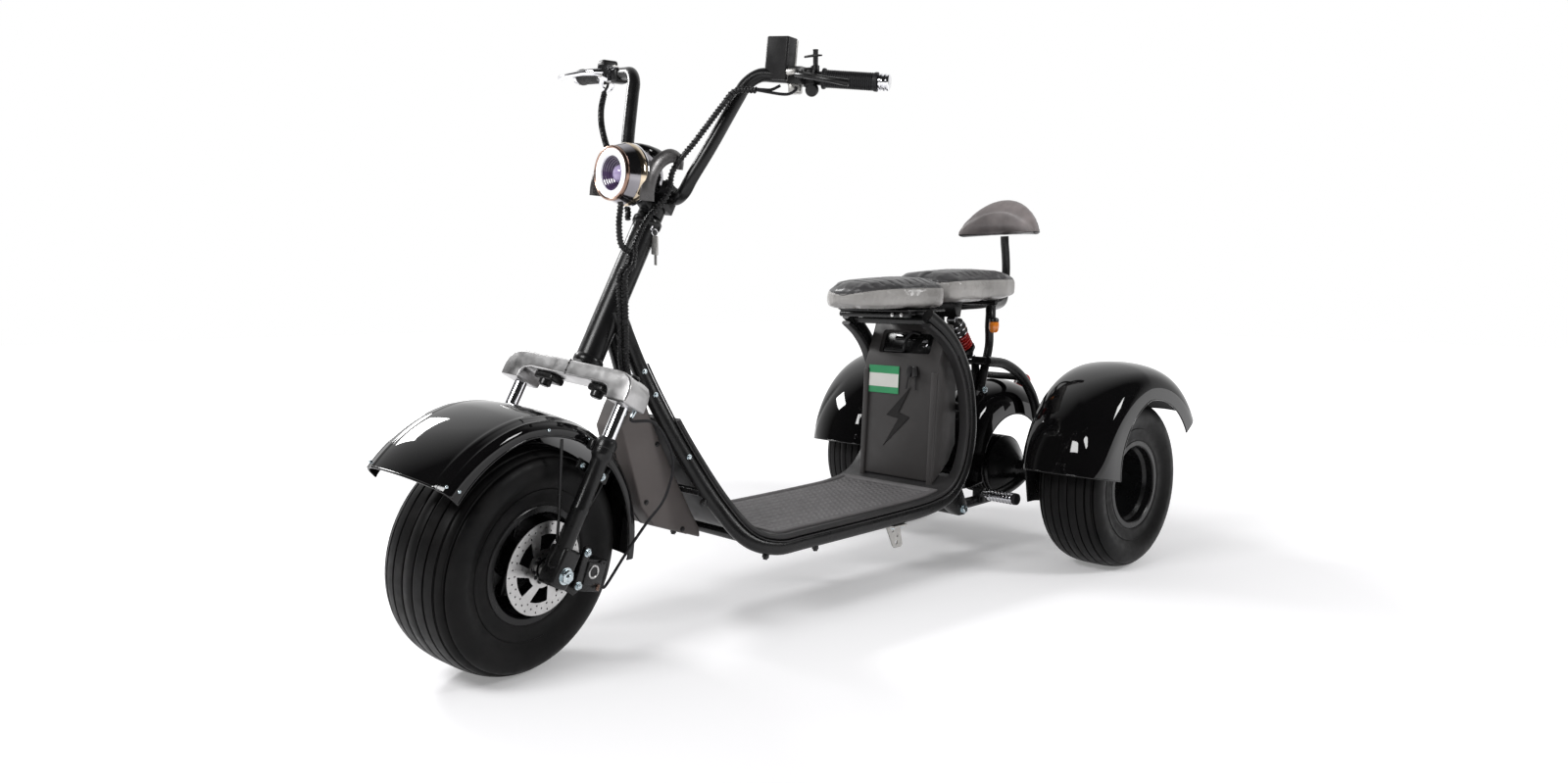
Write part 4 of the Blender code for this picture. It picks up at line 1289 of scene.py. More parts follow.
    def stays(self) -> None:
        """Brackets and thin rods that hold the guard to the legs."""
        plates, rods, bolts = Solid(), Solid(), Solid()
        for side in Side:
            v = side.value
            ends = [STANCE.fork(v * 0.1195, y, z) for y, z in ((0.066, 0.196), (0.132, 0.157))]
            middle = (ends[0] + ends[1]) / 2
            along = (ends[1] - ends[0]).normalized()
            place = basis(middle, along, STANCE.across.cross(along))
            plates.block(((ends[1] - ends[0]).length + 0.022, 0.020, 0.0035), place, 0.0015)
            rods.sweep(
                [
                    STANCE.fork(v * 0.1165, y, z)
                    for y, z in ((0.016, 0.250), (0.018, 0.170), (0.020, 0.100), (0.018, 0.052))
                ],
                0.0030, 12
            )
            rods.sweep(
                [
                    STANCE.fork(v * 0.1165, y, z)
                    for y, z in ((0.150, 0.170), (0.120, 0.130), (0.072, 0.075), (0.045, 0.050))
                ],
                0.0030, 12
            )
            for y, z in ((0.071, 0.1925), (0.126, 0.1605)):
                bolts.bolt(aim(STANCE.fork(v * 0.1212, y, z), STANCE.across * v), 0.0058, 0.0042, 0.0078)
        plates.piece("guard_stay_plates", Body.FORK, SATIN_BLACK)
        rods.piece("guard_stay_rods", Body.FORK, SATIN_BLACK)
        bolts.piece("guard_stay_bolts", Body.FORK, ZINC)

    def caliper_axes(self) -> tuple[Vector, Vector]:
        """Directions away from the axle and upwards along the caliper's face, unturned."""
        cosine, sine = math.cos(self.caliper_tilt), math.sin(self.caliper_tilt)
        return Vector((0, cosine, sine)), Vector((0, -sine, cosine))

    def caliper(self) -> None:
        """The brake caliper with its cover ring, bolts and spring."""
        out, up = self.caliper_axes()
        place = STANCE.turned @ basis(Vector(), out, up)
        body = Solid().copy_node("brake_caliper")
        Solid.round_edges(body.bm, 0.0022, 3)
        body.piece("caliper_casting", Body.FORK, SATIN_BLACK, ["brake_caliper"], "satin_black")
        cover = Solid()
        cover.block((0.050, 0.046, 0.006), place @ shift(0.097, 0.004, 0.1452), 0.003)
        cover.block((0.020, 0.086, 0.010), place @ shift(0.064, 0.012, 0.1400), 0.004)
        cover.piece("caliper_cover", Body.FORK, BOLT_BLACK)
        ring = Solid().lathe(
            [
                (0.0100, 0), (0.0140, 0), (0.0140, 0.0016), (0.0130, 0.0026), (0.0112, 0.0026),
                (0.0100, 0.0016)
            ],
            place @ shift(0.090, 0.0085, 0.1480), 40
        )
        ring.piece("caliper_ring", Body.FORK, STEEL)
        bolts = Solid()
        for r, t in ((0.0625, 0.0440), (0.0600, -0.0210)):
            bolts.bolt(place @ shift(r, t, 0.1450), 0.0062, 0.0048, 0.0084)
        bolts.piece("caliper_bolts", Body.FORK, ZINC)
        caps = Solid()
        for r, t in ((0.1070, 0.0260), (0.1180, -0.0200)):
            caps.bolt(place @ shift(r, t, 0.1440), 0.0050, 0.0044)
        caps.piece("caliper_caps", Body.FORK, BOLT_BLACK)
        spring = []
        for k in range(61):
            a = math.tau * k / 12
            spring.append(
                place
                @ Vector(
                    (0.1115 + 0.0034 * math.cos(a), -0.0270 + 0.0002 * k, 0.1500 + 0.0034 * math.sin(a))
                )
            )
        Solid().sweep(spring, 0.0008, 6).piece("caliper_spring", Body.FORK, BRONZE)

    def column(self) -> None:
        """The steering stem with its clamp, split line and pinch bolts."""
        stem = Solid().copy_node("stem")
        Solid.round_edges(stem.bm, 0.0025, 3, 0.9)
        stem.piece("stem_clamp", Body.FORK, SATIN_BLACK, ["stem"], "satin_black")
        bolts = Solid()
        for x in (-0.024, 0.024):
            for off in (-0.017, 0.017):
                place = raked(x, 0.826, off) @ Matrix.Rotation(-math.pi / 2, 4, "X")
                bolts.lathe(
                    [(0.0026, 0.0), (0.0050, 0.0), (0.0050, 0.0040), (0.0026, 0.0044), (0.0026, 0.0010)],
                    place, 20
                )
        bolts.piece("stem_bolts", Body.FORK, BOLT_BLACK)

    def hose(self) -> None:
        """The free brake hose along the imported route."""
        start = [STANCE.column(0.160, self.crown_s - 0.0003, -0.006), STANCE.column(0.160, 0.318, -0.009)]
        loop = [
            (0.178, 0.203, 0.270), (0.193, 0.239, 0.217), (0.199, 0.245, 0.173), (0.201, 0.222, 0.117),
            (0.188, 0.188, 0.070), (0.160, 0.168, 0.008)
        ]
        out, up = self.caliper_axes()
        ends = [
            Vector((0.135, 0, 0)) - up * 0.020 + out * (0.1286 + back)
            for back in (0.024, 0.012, 0.006, 0.0)
        ]
        route = curve_through(
            [*start, *[STANCE.fork(*p) for p in loop], *[STANCE.fork(*p) for p in ends]], 10
        )
        Solid().sweep(route, 0.0030, 14).piece(
            "brake_hose_line", Body.FORK, GRIP_RUBBER, ["brake_hose"], "satin_black"
        )
        ferrule = Solid()
        for a, b in ((route[0], route[6]), (route[-1], route[-8])):
            ferrule.sweep([a, a.lerp(b, 0.5), b], [0.0046, 0.0046, 0.0040], 16)
        ferrule.piece("brake_hose_ends", Body.FORK, ZINC)


def spiral_loom(solid: Solid, path: Sequence[Vector], radius: float, pitch: float = 0.0072) -> Solid:
    """A cable bundle in a spiral wrap.

    Args:
        solid: The solid that takes the loom.
        path: Its centre line.
        radius: Outer radius.
        pitch: Distance from turn to turn.

    Returns:
        The solid itself.
    """
    solid.sweep(path, radius * 0.80, 12)
    frames = travel(path)
    lengths = [0.0]
    for a, b in zip(path, path[1:]):
        lengths.append(lengths[-1] + (b - a).length)
    turns = lengths[-1] / pitch
    count = int(turns * 10)
    wrap: list[Vector] = []
    i = 0
    for k in range(count + 1):
        at = lengths[-1] * k / count
        while i < len(lengths) - 2 and lengths[i + 1] < at:
            i += 1
        share = (at - lengths[i]) / max(1e-9, lengths[i + 1] - lengths[i])
        turn = Matrix.Rotation(math.tau * at / pitch, 4, "Z") @ Vector((radius * 0.84, 0, 0))
        wrap.append((frames[i] @ turn).lerp(frames[i + 1] @ turn, share))
    return solid.sweep(wrap, pitch * 0.24, 5)


@dataclass
class Lamp:
    """The round headlight with its shell, ring, core, cowl and bracket arms.

    Cowl stations are (distance back, lower edge, upper edge, half width). Arm stations are (y, z).
    """

    centre: Triple = (0.0, 0.225, 0.744)
    yaw: float = math.radians(10.0)
    arm_x: float = 0.0680
    arm_stations: tuple[Pair, ...] = (
        (0.262, 0.696), (0.263, 0.722), (0.273, 0.752), (0.296, 0.777), (0.328, 0.790), (0.355, 0.783),
        (0.357, 0.764)
    )
    cowl_stations: tuple[tuple[float, float, float, float], ...] = (
        (0.053, 0.046, 0.0635, 0.020),
        (0.060, 0.040, 0.0650, 0.026),
        (0.080, 0.032, 0.0640, 0.030),
        (0.105, 0.026, 0.0600, 0.026),
        (0.125, 0.026, 0.0540, 0.019),
        (0.138, 0.030, 0.0480, 0.010),
    )

    def __post_init__(self) -> None:
        """Places the lamp: local z looks ahead of its face and y looks up."""
        across = Vector((math.cos(self.yaw), -math.sin(self.yaw), 0))
        self.place = STANCE.turned @ basis(Vector(self.centre), across, Vector((0, 0, 1)))

    def build(self) -> None:
        """Builds the lamp's pieces."""
        self.shell()
        self.face()
        self.cowl()
        self.arms()

    def shell(self) -> None:
        """A flared visor band, gold and chrome rings, and a dark bowl behind them."""
        visor = [
            (0.0470, -0.0070), (0.0545, -0.0070), (0.0560, -0.0120), (0.0585, -0.0200),
            (0.0612, -0.0290), (0.0600, -0.0310), (0.0560, -0.0300), (0.0470, -0.0200)
        ]
        Solid().lathe(visor, self.place, 80).piece(
            "lamp_visor", Body.FORK, DARK_CHROME, ["headlight_housing"], "chrome"
        )
        band = [
            (0.0470, -0.0295), (0.0612, -0.0295), (0.0632, -0.0340), (0.0638, -0.0390), (0.0628, -0.0440),
            (0.0470, -0.0440)
        ]
        Solid().lathe(band, self.place, 80).piece("lamp_gold_band", Body.FORK, GOLD_CHROME)
        trim = [
            (0.0470, -0.0443), (0.0622, -0.0443), (0.0634, -0.0465), (0.0634, -0.0490), (0.0622, -0.0512),
            (0.0470, -0.0512)
        ]
        Solid().lathe(trim, self.place, 80).piece("lamp_trim", Body.FORK, CHROME)
        bowl = [
            (0.0470, -0.0515), (0.0606, -0.0515), (0.0600, -0.0560), (0.0560, -0.0690),
            (0.0515, -0.0790), (0.0420, -0.1000), (0.0300, -0.1120), (0.0200, -0.1175),
            (0.0004, -0.1185), (0.0004, -0.0560)
        ]
        Solid().lathe(bowl, self.place, 72).piece("lamp_bowl", Body.FORK, DARK_CHROME)

    def face(self) -> None:
        """Bezel, glowing ring, ribbed reflector and projector core."""
        bezel = [
            (0.0490, -0.0060), (0.0538, -0.0075), (0.0550, -0.0035), (0.0538, 0.0005), (0.0512, 0.0014),
            (0.0490, 0.0000)
        ]
        Solid().lathe(bezel, self.place, 80).piece("lamp_bezel", Body.FORK, BRONZE)
        ring = [
            (0.0345, -0.0060), (0.0495, -0.0060), (0.0495, -0.0008), (0.0465, 0.0014), (0.0420, 0.0020),
            (0.0370, 0.0008), (0.0345, -0.0020)
        ]
        Solid().lathe(ring, self.place, 80).piece(
            "lamp_ring_light", Body.FORK, LAMP_WHITE, ["headlight_lens"], "lamp_lens"
        )
        core = [(0.0004, -0.0330), (0.0200, -0.0325)]
        for k in range(6):
            r = 0.0205 + 0.0024 * k
            core += [(r, -0.0300 + 0.0042 * k), (r + 0.0016, -0.0290 + 0.0042 * k)]
        core += [(0.0348, -0.0040), (0.0348, -0.0350), (0.0004, -0.0360)]
        Solid().lathe(core, self.place, 72).piece("lamp_core_bowl", Body.FORK, LAMP_DARK)
        dome = [
            (0.0004, -0.0110), (0.0080, -0.0120), (0.0140, -0.0155), (0.0180, -0.0215), (0.0190, -0.0290),
            (0.0004, -0.0325)
        ]
        Solid().lathe(dome, self.place, 56).piece("lamp_projector", Body.FORK, LAMP_LENS)

    def cowl(self) -> None:
        """The black cowl that rises from the shell back to its tail."""
        rings = []
        for back, low, high, half in self.cowl_stations:
            ring = []
            for k in range(20):
                a = math.tau * k / 20
                x = half * math.copysign(abs(math.cos(a)) ** 0.7, math.cos(a))
                y = (high + low) / 2 + (high - low) / 2 * math.copysign(abs(math.sin(a)) ** 0.8, math.sin(a))
                ring.append(self.place @ Vector((x, y, -back)))
            rings.append(ring)
        Solid().loft(rings).piece("lamp_cowl", Body.FORK, GLOSS_BLACK)

    def arms(self) -> None:
        """The wide bracket wings that hook from the shell up to the clamp."""
        arms = Solid()
        for side in Side:
            points = curve_through(
                [STANCE.fork(side.value * self.arm_x, y, z) for y, z in self.arm_stations], 6
            )
            count = len(points) - 1
            radii = [0.0180 - 0.0060 * (k / count) for k in range(count + 1)]
            arms.sweep(points, radii, 20, (0.36, 1.0))
        arms.piece("lamp_arms", Body.FORK, BRACKET_GREY)


@dataclass(frozen=True)
class Cockpit:
    """Handlebar, grips, levers, display, mirror stub, looms and key.

    Each grip lies on a level line through grip_root that runs back by grip_slope for each metre outwards.
    """

    bar_radius: float = 0.014
    grip_root: Triple = (0.300, 0.505, 0.970)
    grip_slope: float = 0.351
    grip_length: float = 0.1076
    grip_ribs: int = 22
    display_x: float = 0.215
    key_height: float = 0.722

    def bar_points(self) -> list[Vector]:
        """Left half of the bar's centre line in unturned places."""
        return [
            Vector(p)
            for p in (
                (0.076, 0.368, 0.722), (0.090, 0.372, 0.752), (0.115, 0.396, 0.820), (0.143, 0.432, 0.915),
                (0.154, 0.446, 0.948), (0.176, 0.460, 0.968)
            )
        ]

    def along_grip(self, side: Side, x: float) -> Vector:
        """A place on the grip's straight line.

        Args:
            side: Which grip.
            x: Distance from the middle.

        Returns:
            The point in the row frame.
        """
        root_x, root_y, root_z = self.grip_root
        return STANCE.fork(side.value * x, root_y + (x - root_x) * self.grip_slope, root_z)

    def grip_frame(self, side: Side, x: float) -> Matrix:
        """A placement on the grip's line: local z outwards along the bar, y up and x ahead or behind."""
        at = self.along_grip(side, x)
        along = (self.along_grip(side, x + 0.01) - at).normalized()
        return basis(at, Vector((0, 0, 1)).cross(along), Vector((0, 0, 1)))

    def build(self) -> None:
        """Builds everything on the bar."""
        self.bar()
        self.grips()
        self.near_controls()
        self.far_controls()
        self.display()
        self.looms()
        self.key()

    def bar(self) -> None:
        """The bent tube in one smooth sweep."""
        clamp = [
            STANCE.column(side * x, 0.800, 0)
            for side, x in ((-1, 0.052), (-1, 0.036), (1, 0.036), (1, 0.052))
        ]
        left = [STANCE.fork(*p) for p in self.bar_points()]
        right = [STANCE.fork(-p.x, p.y, p.z) for p in self.bar_points()]
        ends = [self.along_grip(side, x) for side in (Side.RIGHT, Side.LEFT) for x in (0.206, 0.300)]
        middle = [*reversed(right), *clamp, *left]
        path = curve_through([ends[0], *middle, ends[2]], 8)
        Solid().sweep([ends[1], *path, ends[3]], self.bar_radius, 28).piece(
            "bar_tube", Body.FORK, SATIN_BLACK, ["handlebar"], "satin_black"
        )

    def grips(self) -> None:
        """Ribbed rubber grips and chrome bar ends."""
        for side in Side:
            start = self.along_grip(side, 0.3004)
            along = (self.along_grip(side, 0.40) - start).normalized()
            place = aim(start, along)
            rubber = [(0.0142, 0.0), (0.0205, 0.0), (0.0208, 0.0030), (0.0200, 0.0058), (0.0176, 0.0072)]
            length = self.grip_length * (1.0 / math.cos(math.atan(self.grip_slope)))
            step = (length - 0.020) / self.grip_ribs
            for k in range(self.grip_ribs):
                z = 0.010 + (length - 0.020) * k / self.grip_ribs
                rubber += [
                    (0.0176, z), (0.0176, z + step * 0.52), (0.0165, z + step * 0.62),
                    (0.0165, z + step * 0.90)
                ]
            rubber += [
                (0.0176, length - 0.010), (0.0190, length - 0.006), (0.0190, length - 0.001),
                (0.0142, length)
            ]
            Solid().lathe(rubber, place, 36).piece(
                f"grip_{side.word}_rubber", Body.FORK, GRIP_RUBBER, [f"grip_{side.word}"], "mat_rubber"
            )
            cap = aim(self.along_grip(side, 0.4084), along)
            steel = [
                (0.0004, 0), (0.0145, 0), (0.0165, 0.0015), (0.0172, 0.0045), (0.0172, 0.0070),
                (0.0148, 0.0085), (0.0148, 0.0100), (0.0172, 0.0115), (0.0172, 0.0150), (0.0150, 0.0165),
                (0.0150, 0.0178), (0.0165, 0.0190), (0.0160, 0.0215), (0.0120, 0.0235), (0.0004, 0.0240)
            ]
            Solid().lathe(steel, cap, 36, closed=False).piece(
                f"bar_end_{side.word}_weight", Body.FORK, CHROME, [f"bar_end_{side.word}"], "chrome"
            )

    def near_controls(self) -> None:
        """The left side: pale perch, switch block, knob, mirror stub and lever."""
        side = Side.LEFT
        perch = Solid()
        for x in (0.238, 0.252):
            place = self.grip_frame(side, x)
            perch.lathe(
                [(0.0144, -0.0055), (0.0190, -0.0055), (0.0198, 0.0), (0.0190, 0.0055), (0.0144, 0.0055)],
                place, 28
            )
        place = self.grip_frame(side, 0.246)
        perch.block((0.022, 0.030, 0.026), place @ shift(0.0, -0.0190, 0.0), 0.004)
        perch.block((0.030, 0.013, 0.022), place @ shift(0.022, 0.004, 0.0), 0.004)
        perch.block((0.030, 0.013, 0.022), place @ shift(-0.022, 0.004, 0.0), 0.004)
        perch.piece("perch_left", Body.FORK, PERCH_SILVER)
        lever = Solid().copy_node("brake_lever_left")
        Solid.round_edges(lever.bm, 0.0015, 2, 0.9)
        lever.piece("lever_left_blade", Body.FORK, SATIN_BLACK, ["brake_lever_left"], "satin_black")
        switch = Solid()
        place = self.grip_frame(side, 0.276)
        switch.block((0.044, 0.040, 0.024), place @ shift(0, -0.002, 0), 0.008, 4)
        for x, y in ((0.0, 0.019), (0.0, 0.006)):
            switch.block((0.010, 0.008, 0.010), place @ shift(x, y, 0.006), 0.002)
        switch.piece("switch_left", Body.FORK, PLASTIC_BLACK)
        knob = Solid()
        knob.lathe(
            [(0.0004, 0), (0.0115, 0), (0.0130, 0.004), (0.0130, 0.014), (0.0110, 0.018), (0.0004, 0.019)],
            aim(self.along_grip(side, 0.281) + Vector((0, 0.0, -0.022)), Vector((0.5, -0.8, -0.35))), 32
        )
        knob.piece("horn_button", Body.FORK, PLASTIC_BLACK)
        stub = Solid()
        base = self.along_grip(side, 0.286)
        stub.lathe(
            [
                (0.0004, 0), (0.0080, 0), (0.0080, 0.010), (0.0052, 0.012), (0.0052, 0.0400),
                (0.0060, 0.0420), (0.0004, 0.0425)
            ],
            aim(base + Vector((0, 0, 0.014)), Vector((0, 0, 1))), 24
        )
        stub.sweep(
            [
                base + Vector((-0.030, -0.002, 0.046)), base + Vector((0.0, -0.004, 0.044)),
                base + Vector((0.026, -0.008, 0.040))
            ],
            [0.0022, 0.0030, 0.0016], 10, (1.0, 0.5)
        )
        stub.piece("mirror_stub_left", Body.FORK, PLASTIC_BLACK)

    def far_controls(self) -> None:
        """The right side: black box, silver perch, lever and throttle housing."""
        side = Side.RIGHT
        perch = Solid()
        place = self.grip_frame(side, 0.262)
        perch.lathe(
            [(0.0144, -0.012), (0.0195, -0.012), (0.0200, 0.0), (0.0195, 0.012), (0.0144, 0.012)], place, 28
        )
        perch.block((0.030, 0.018, 0.022), place @ shift(-0.022, -0.002, 0.0), 0.005)
        perch.block((0.030, 0.018, 0.022), place @ shift(0.022, -0.002, 0.0), 0.005)
        perch.piece("perch_right", Body.FORK, PERCH_SILVER)
        lever = Solid().copy_node("brake_lever_right")
        Solid.round_edges(lever.bm, 0.0015, 2, 0.9)
        lever.piece("lever_right_blade", Body.FORK, CHROME, ["brake_lever_right"], "chrome")
        block = Solid()
        block.block((0.040, 0.036, 0.030), self.grip_frame(side, 0.284) @ shift(0, 0.014, 0), 0.006)
        block.block((0.036, 0.034, 0.030), self.grip_frame(side, 0.232) @ shift(0, -0.004, 0), 0.008)
        block.piece("switch_right", Body.FORK, PLASTIC_BLACK)
        ring = Solid().lathe(
            [(0.0110, 0), (0.0170, 0), (0.0185, 0.003), (0.0185, 0.009), (0.0165, 0.012), (0.0110, 0.012)],
            aim(self.along_grip(side, 0.285) + Vector((0, 0, -0.020)), Vector((0.5, -0.8, -0.2))), 36
        )
        ring.piece("throttle_ring", Body.FORK, CHROME)

    def display(self) -> None:
        """The display box with its pale bezel edge and blank screen."""
        box = Solid().copy_node("display")
        box.piece("display_box", Body.FORK, PLASTIC_BLACK, ["display"], "tray_plastic", math.radians(40))
        root_x, root_y, root_z = self.grip_root
        at = Vector((self.display_x, root_y + (self.display_x - root_x) * self.grip_slope, root_z))
        trim = Solid()
        trim.block(
            (0.0022, 0.0060, 0.060), STANCE.turned @ shift(at.x + 0.0256, at.y + 0.0150, at.z + 0.042),
            0.0008
        )
        trim.piece("display_trim", Body.FORK, PERCH_SILVER)
        screen = Solid()
        screen.block(
            (0.044, 0.0016, 0.050), STANCE.turned @ shift(at.x - 0.001, at.y + 0.0184, at.z + 0.044), 0.0006
        )
        screen.piece("display_screen", Body.FORK, GLOSS_BLACK)

    def looms(self) -> None:
        """Spiral looms from the controls and the lamp down beside the column."""
        loom = Solid()
        bars = [
            (0.200, 0.418, 0.934), (0.156, 0.408, 0.930), (0.136, 0.394, 0.898), (0.100, 0.364, 0.826),
            (0.068, 0.338, 0.764), (0.063, 0.330, 0.712)
        ]
        far = [
            (-0.254, 0.460, 0.926), (-0.232, 0.430, 0.885), (-0.196, 0.398, 0.845),
            (-0.150, 0.370, 0.800), (-0.104, 0.348, 0.765), (-0.066, 0.333, 0.722)
        ]
        lamp = [(0.030, 0.228, 0.6895), (0.030, 0.2285, 0.678), (0.031, 0.226, 0.645), (0.035, 0.232, 0.605)]
        ends = {"bars": [(0.034, 0.725, 0.039), (0.042, 0.66, 0.050), (0.050, 0.640, 0.049)]}
        ends["far"] = [(-0.036, 0.745, 0.030), (-0.030, 0.725, 0.026)]
        ends["lamp"] = [(0.041, 0.640, 0.052)]
        for name, points in (("bars", bars), ("far", far), ("lamp", lamp)):
            route = [STANCE.fork(*p) for p in points] + [STANCE.column(*p) for p in ends[name]]
            spiral_loom(loom, curve_through(route, 8), 0.0066)
        loom.piece("bar_looms", Body.FORK, PLASTIC_BLACK)
        cables = Solid()
        near = ((0.258, 0.474, 0.9490), (0.257, 0.471, 0.9400), (0.246, 0.452, 0.931), (0.202, 0.419, 0.934))
        second = ((0.232, 0.455, 0.948), (0.222, 0.440, 0.938), (0.212, 0.426, 0.936), (0.200, 0.420, 0.936))
        right = ((-0.258, 0.474, 0.9490), (-0.258, 0.472, 0.9400), (-0.254, 0.460, 0.928))
        for points in (near, second, right):
            cables.sweep(curve_through([STANCE.fork(*p) for p in points], 6), 0.0030, 12)
        cables.piece("bar_cables", Body.FORK, GRIP_RUBBER)
        self.hanging_looms()

    def hanging_looms(self) -> None:
        """The pair of looms that hangs from the column to the frame, on neither body."""
        fore = STANCE.fore
        inner = [
            STANCE.column(0.041, 0.642, 0.052), STANCE.column(0.0440, 0.615, 0.050),
            fore(0.047, 0.241, 0.540), fore(0.047, 0.241, 0.470), fore(0.047, 0.2415, 0.372),
            fore(0.046, 0.250, 0.325), fore(0.044, 0.2546, 0.3024), fore(0.042, 0.2717, 0.2925)
        ]
        outer = [
            STANCE.column(0.050, 0.642, 0.049), STANCE.column(0.0545, 0.615, 0.047),
            fore(0.0565, 0.248, 0.540), fore(0.0565, 0.248, 0.470), fore(0.0560, 0.2485, 0.375),
            fore(0.0535, 0.2525, 0.345), fore(0.0480, 0.2560, 0.318), fore(0.0440, 0.2700, 0.300)
        ]
        loom = Solid()
        for points in (inner, outer):
            spiral_loom(loom, curve_through(points, 8), 0.0064)
        made = loom.piece("neck_looms", None, PLASTIC_BLACK)
        start, end = fore(0.050, 0.245, 0.500), STANCE.column(0.046, 0.640, 0.050)
        tuple(start)
        tuple(end)
        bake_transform(made)

    def key(self) -> None:
        """The ignition lock beside the column with its key and tag hanging from it."""
        lock = Solid()
        place = raked(0.0, 0.776, 0.024)
        lock.lathe([(0.0004, 0), (0.0110, 0), (0.0110, 0.006), (0.0090, 0.008), (0.0004, 0.008)], place, 28)
        lock.piece("ignition_lock", Body.FORK, CHROME)
        key = Solid()
        side = STANCE.across
        root = STANCE.column(0.018, self.key_height, 0.004)
        key.lathe(
            [(0.0004, 0), (0.0085, 0), (0.0085, 0.007), (0.0070, 0.009), (0.0004, 0.009)], aim(root, side),
            28
        )
        hook = root + side * 0.012
        ring = [
            hook + Vector(
                (0.0, 0.007 * math.sin(math.tau * k / 20), -0.007 + 0.007 * math.cos(math.tau * k / 20))
            )
            for k in range(21)
        ]
        key.sweep(ring, 0.0010, 8)
        key.piece("ignition_key", Body.FORK, CHROME)
        tag = Solid()
        place = basis(hook + Vector((0, 0, -0.034)), side, Vector((0, 0, 1)))
        tag.block((0.017, 0.040, 0.0060), place, 0.0026, 3)
        tag.block((0.0070, 0.026, 0.0020), place @ shift(0.002, -0.028, 0.0), 0.0006, 1)
        tag.piece("ignition_key_tag", Body.FORK, PERCH_SILVER)


# Frame


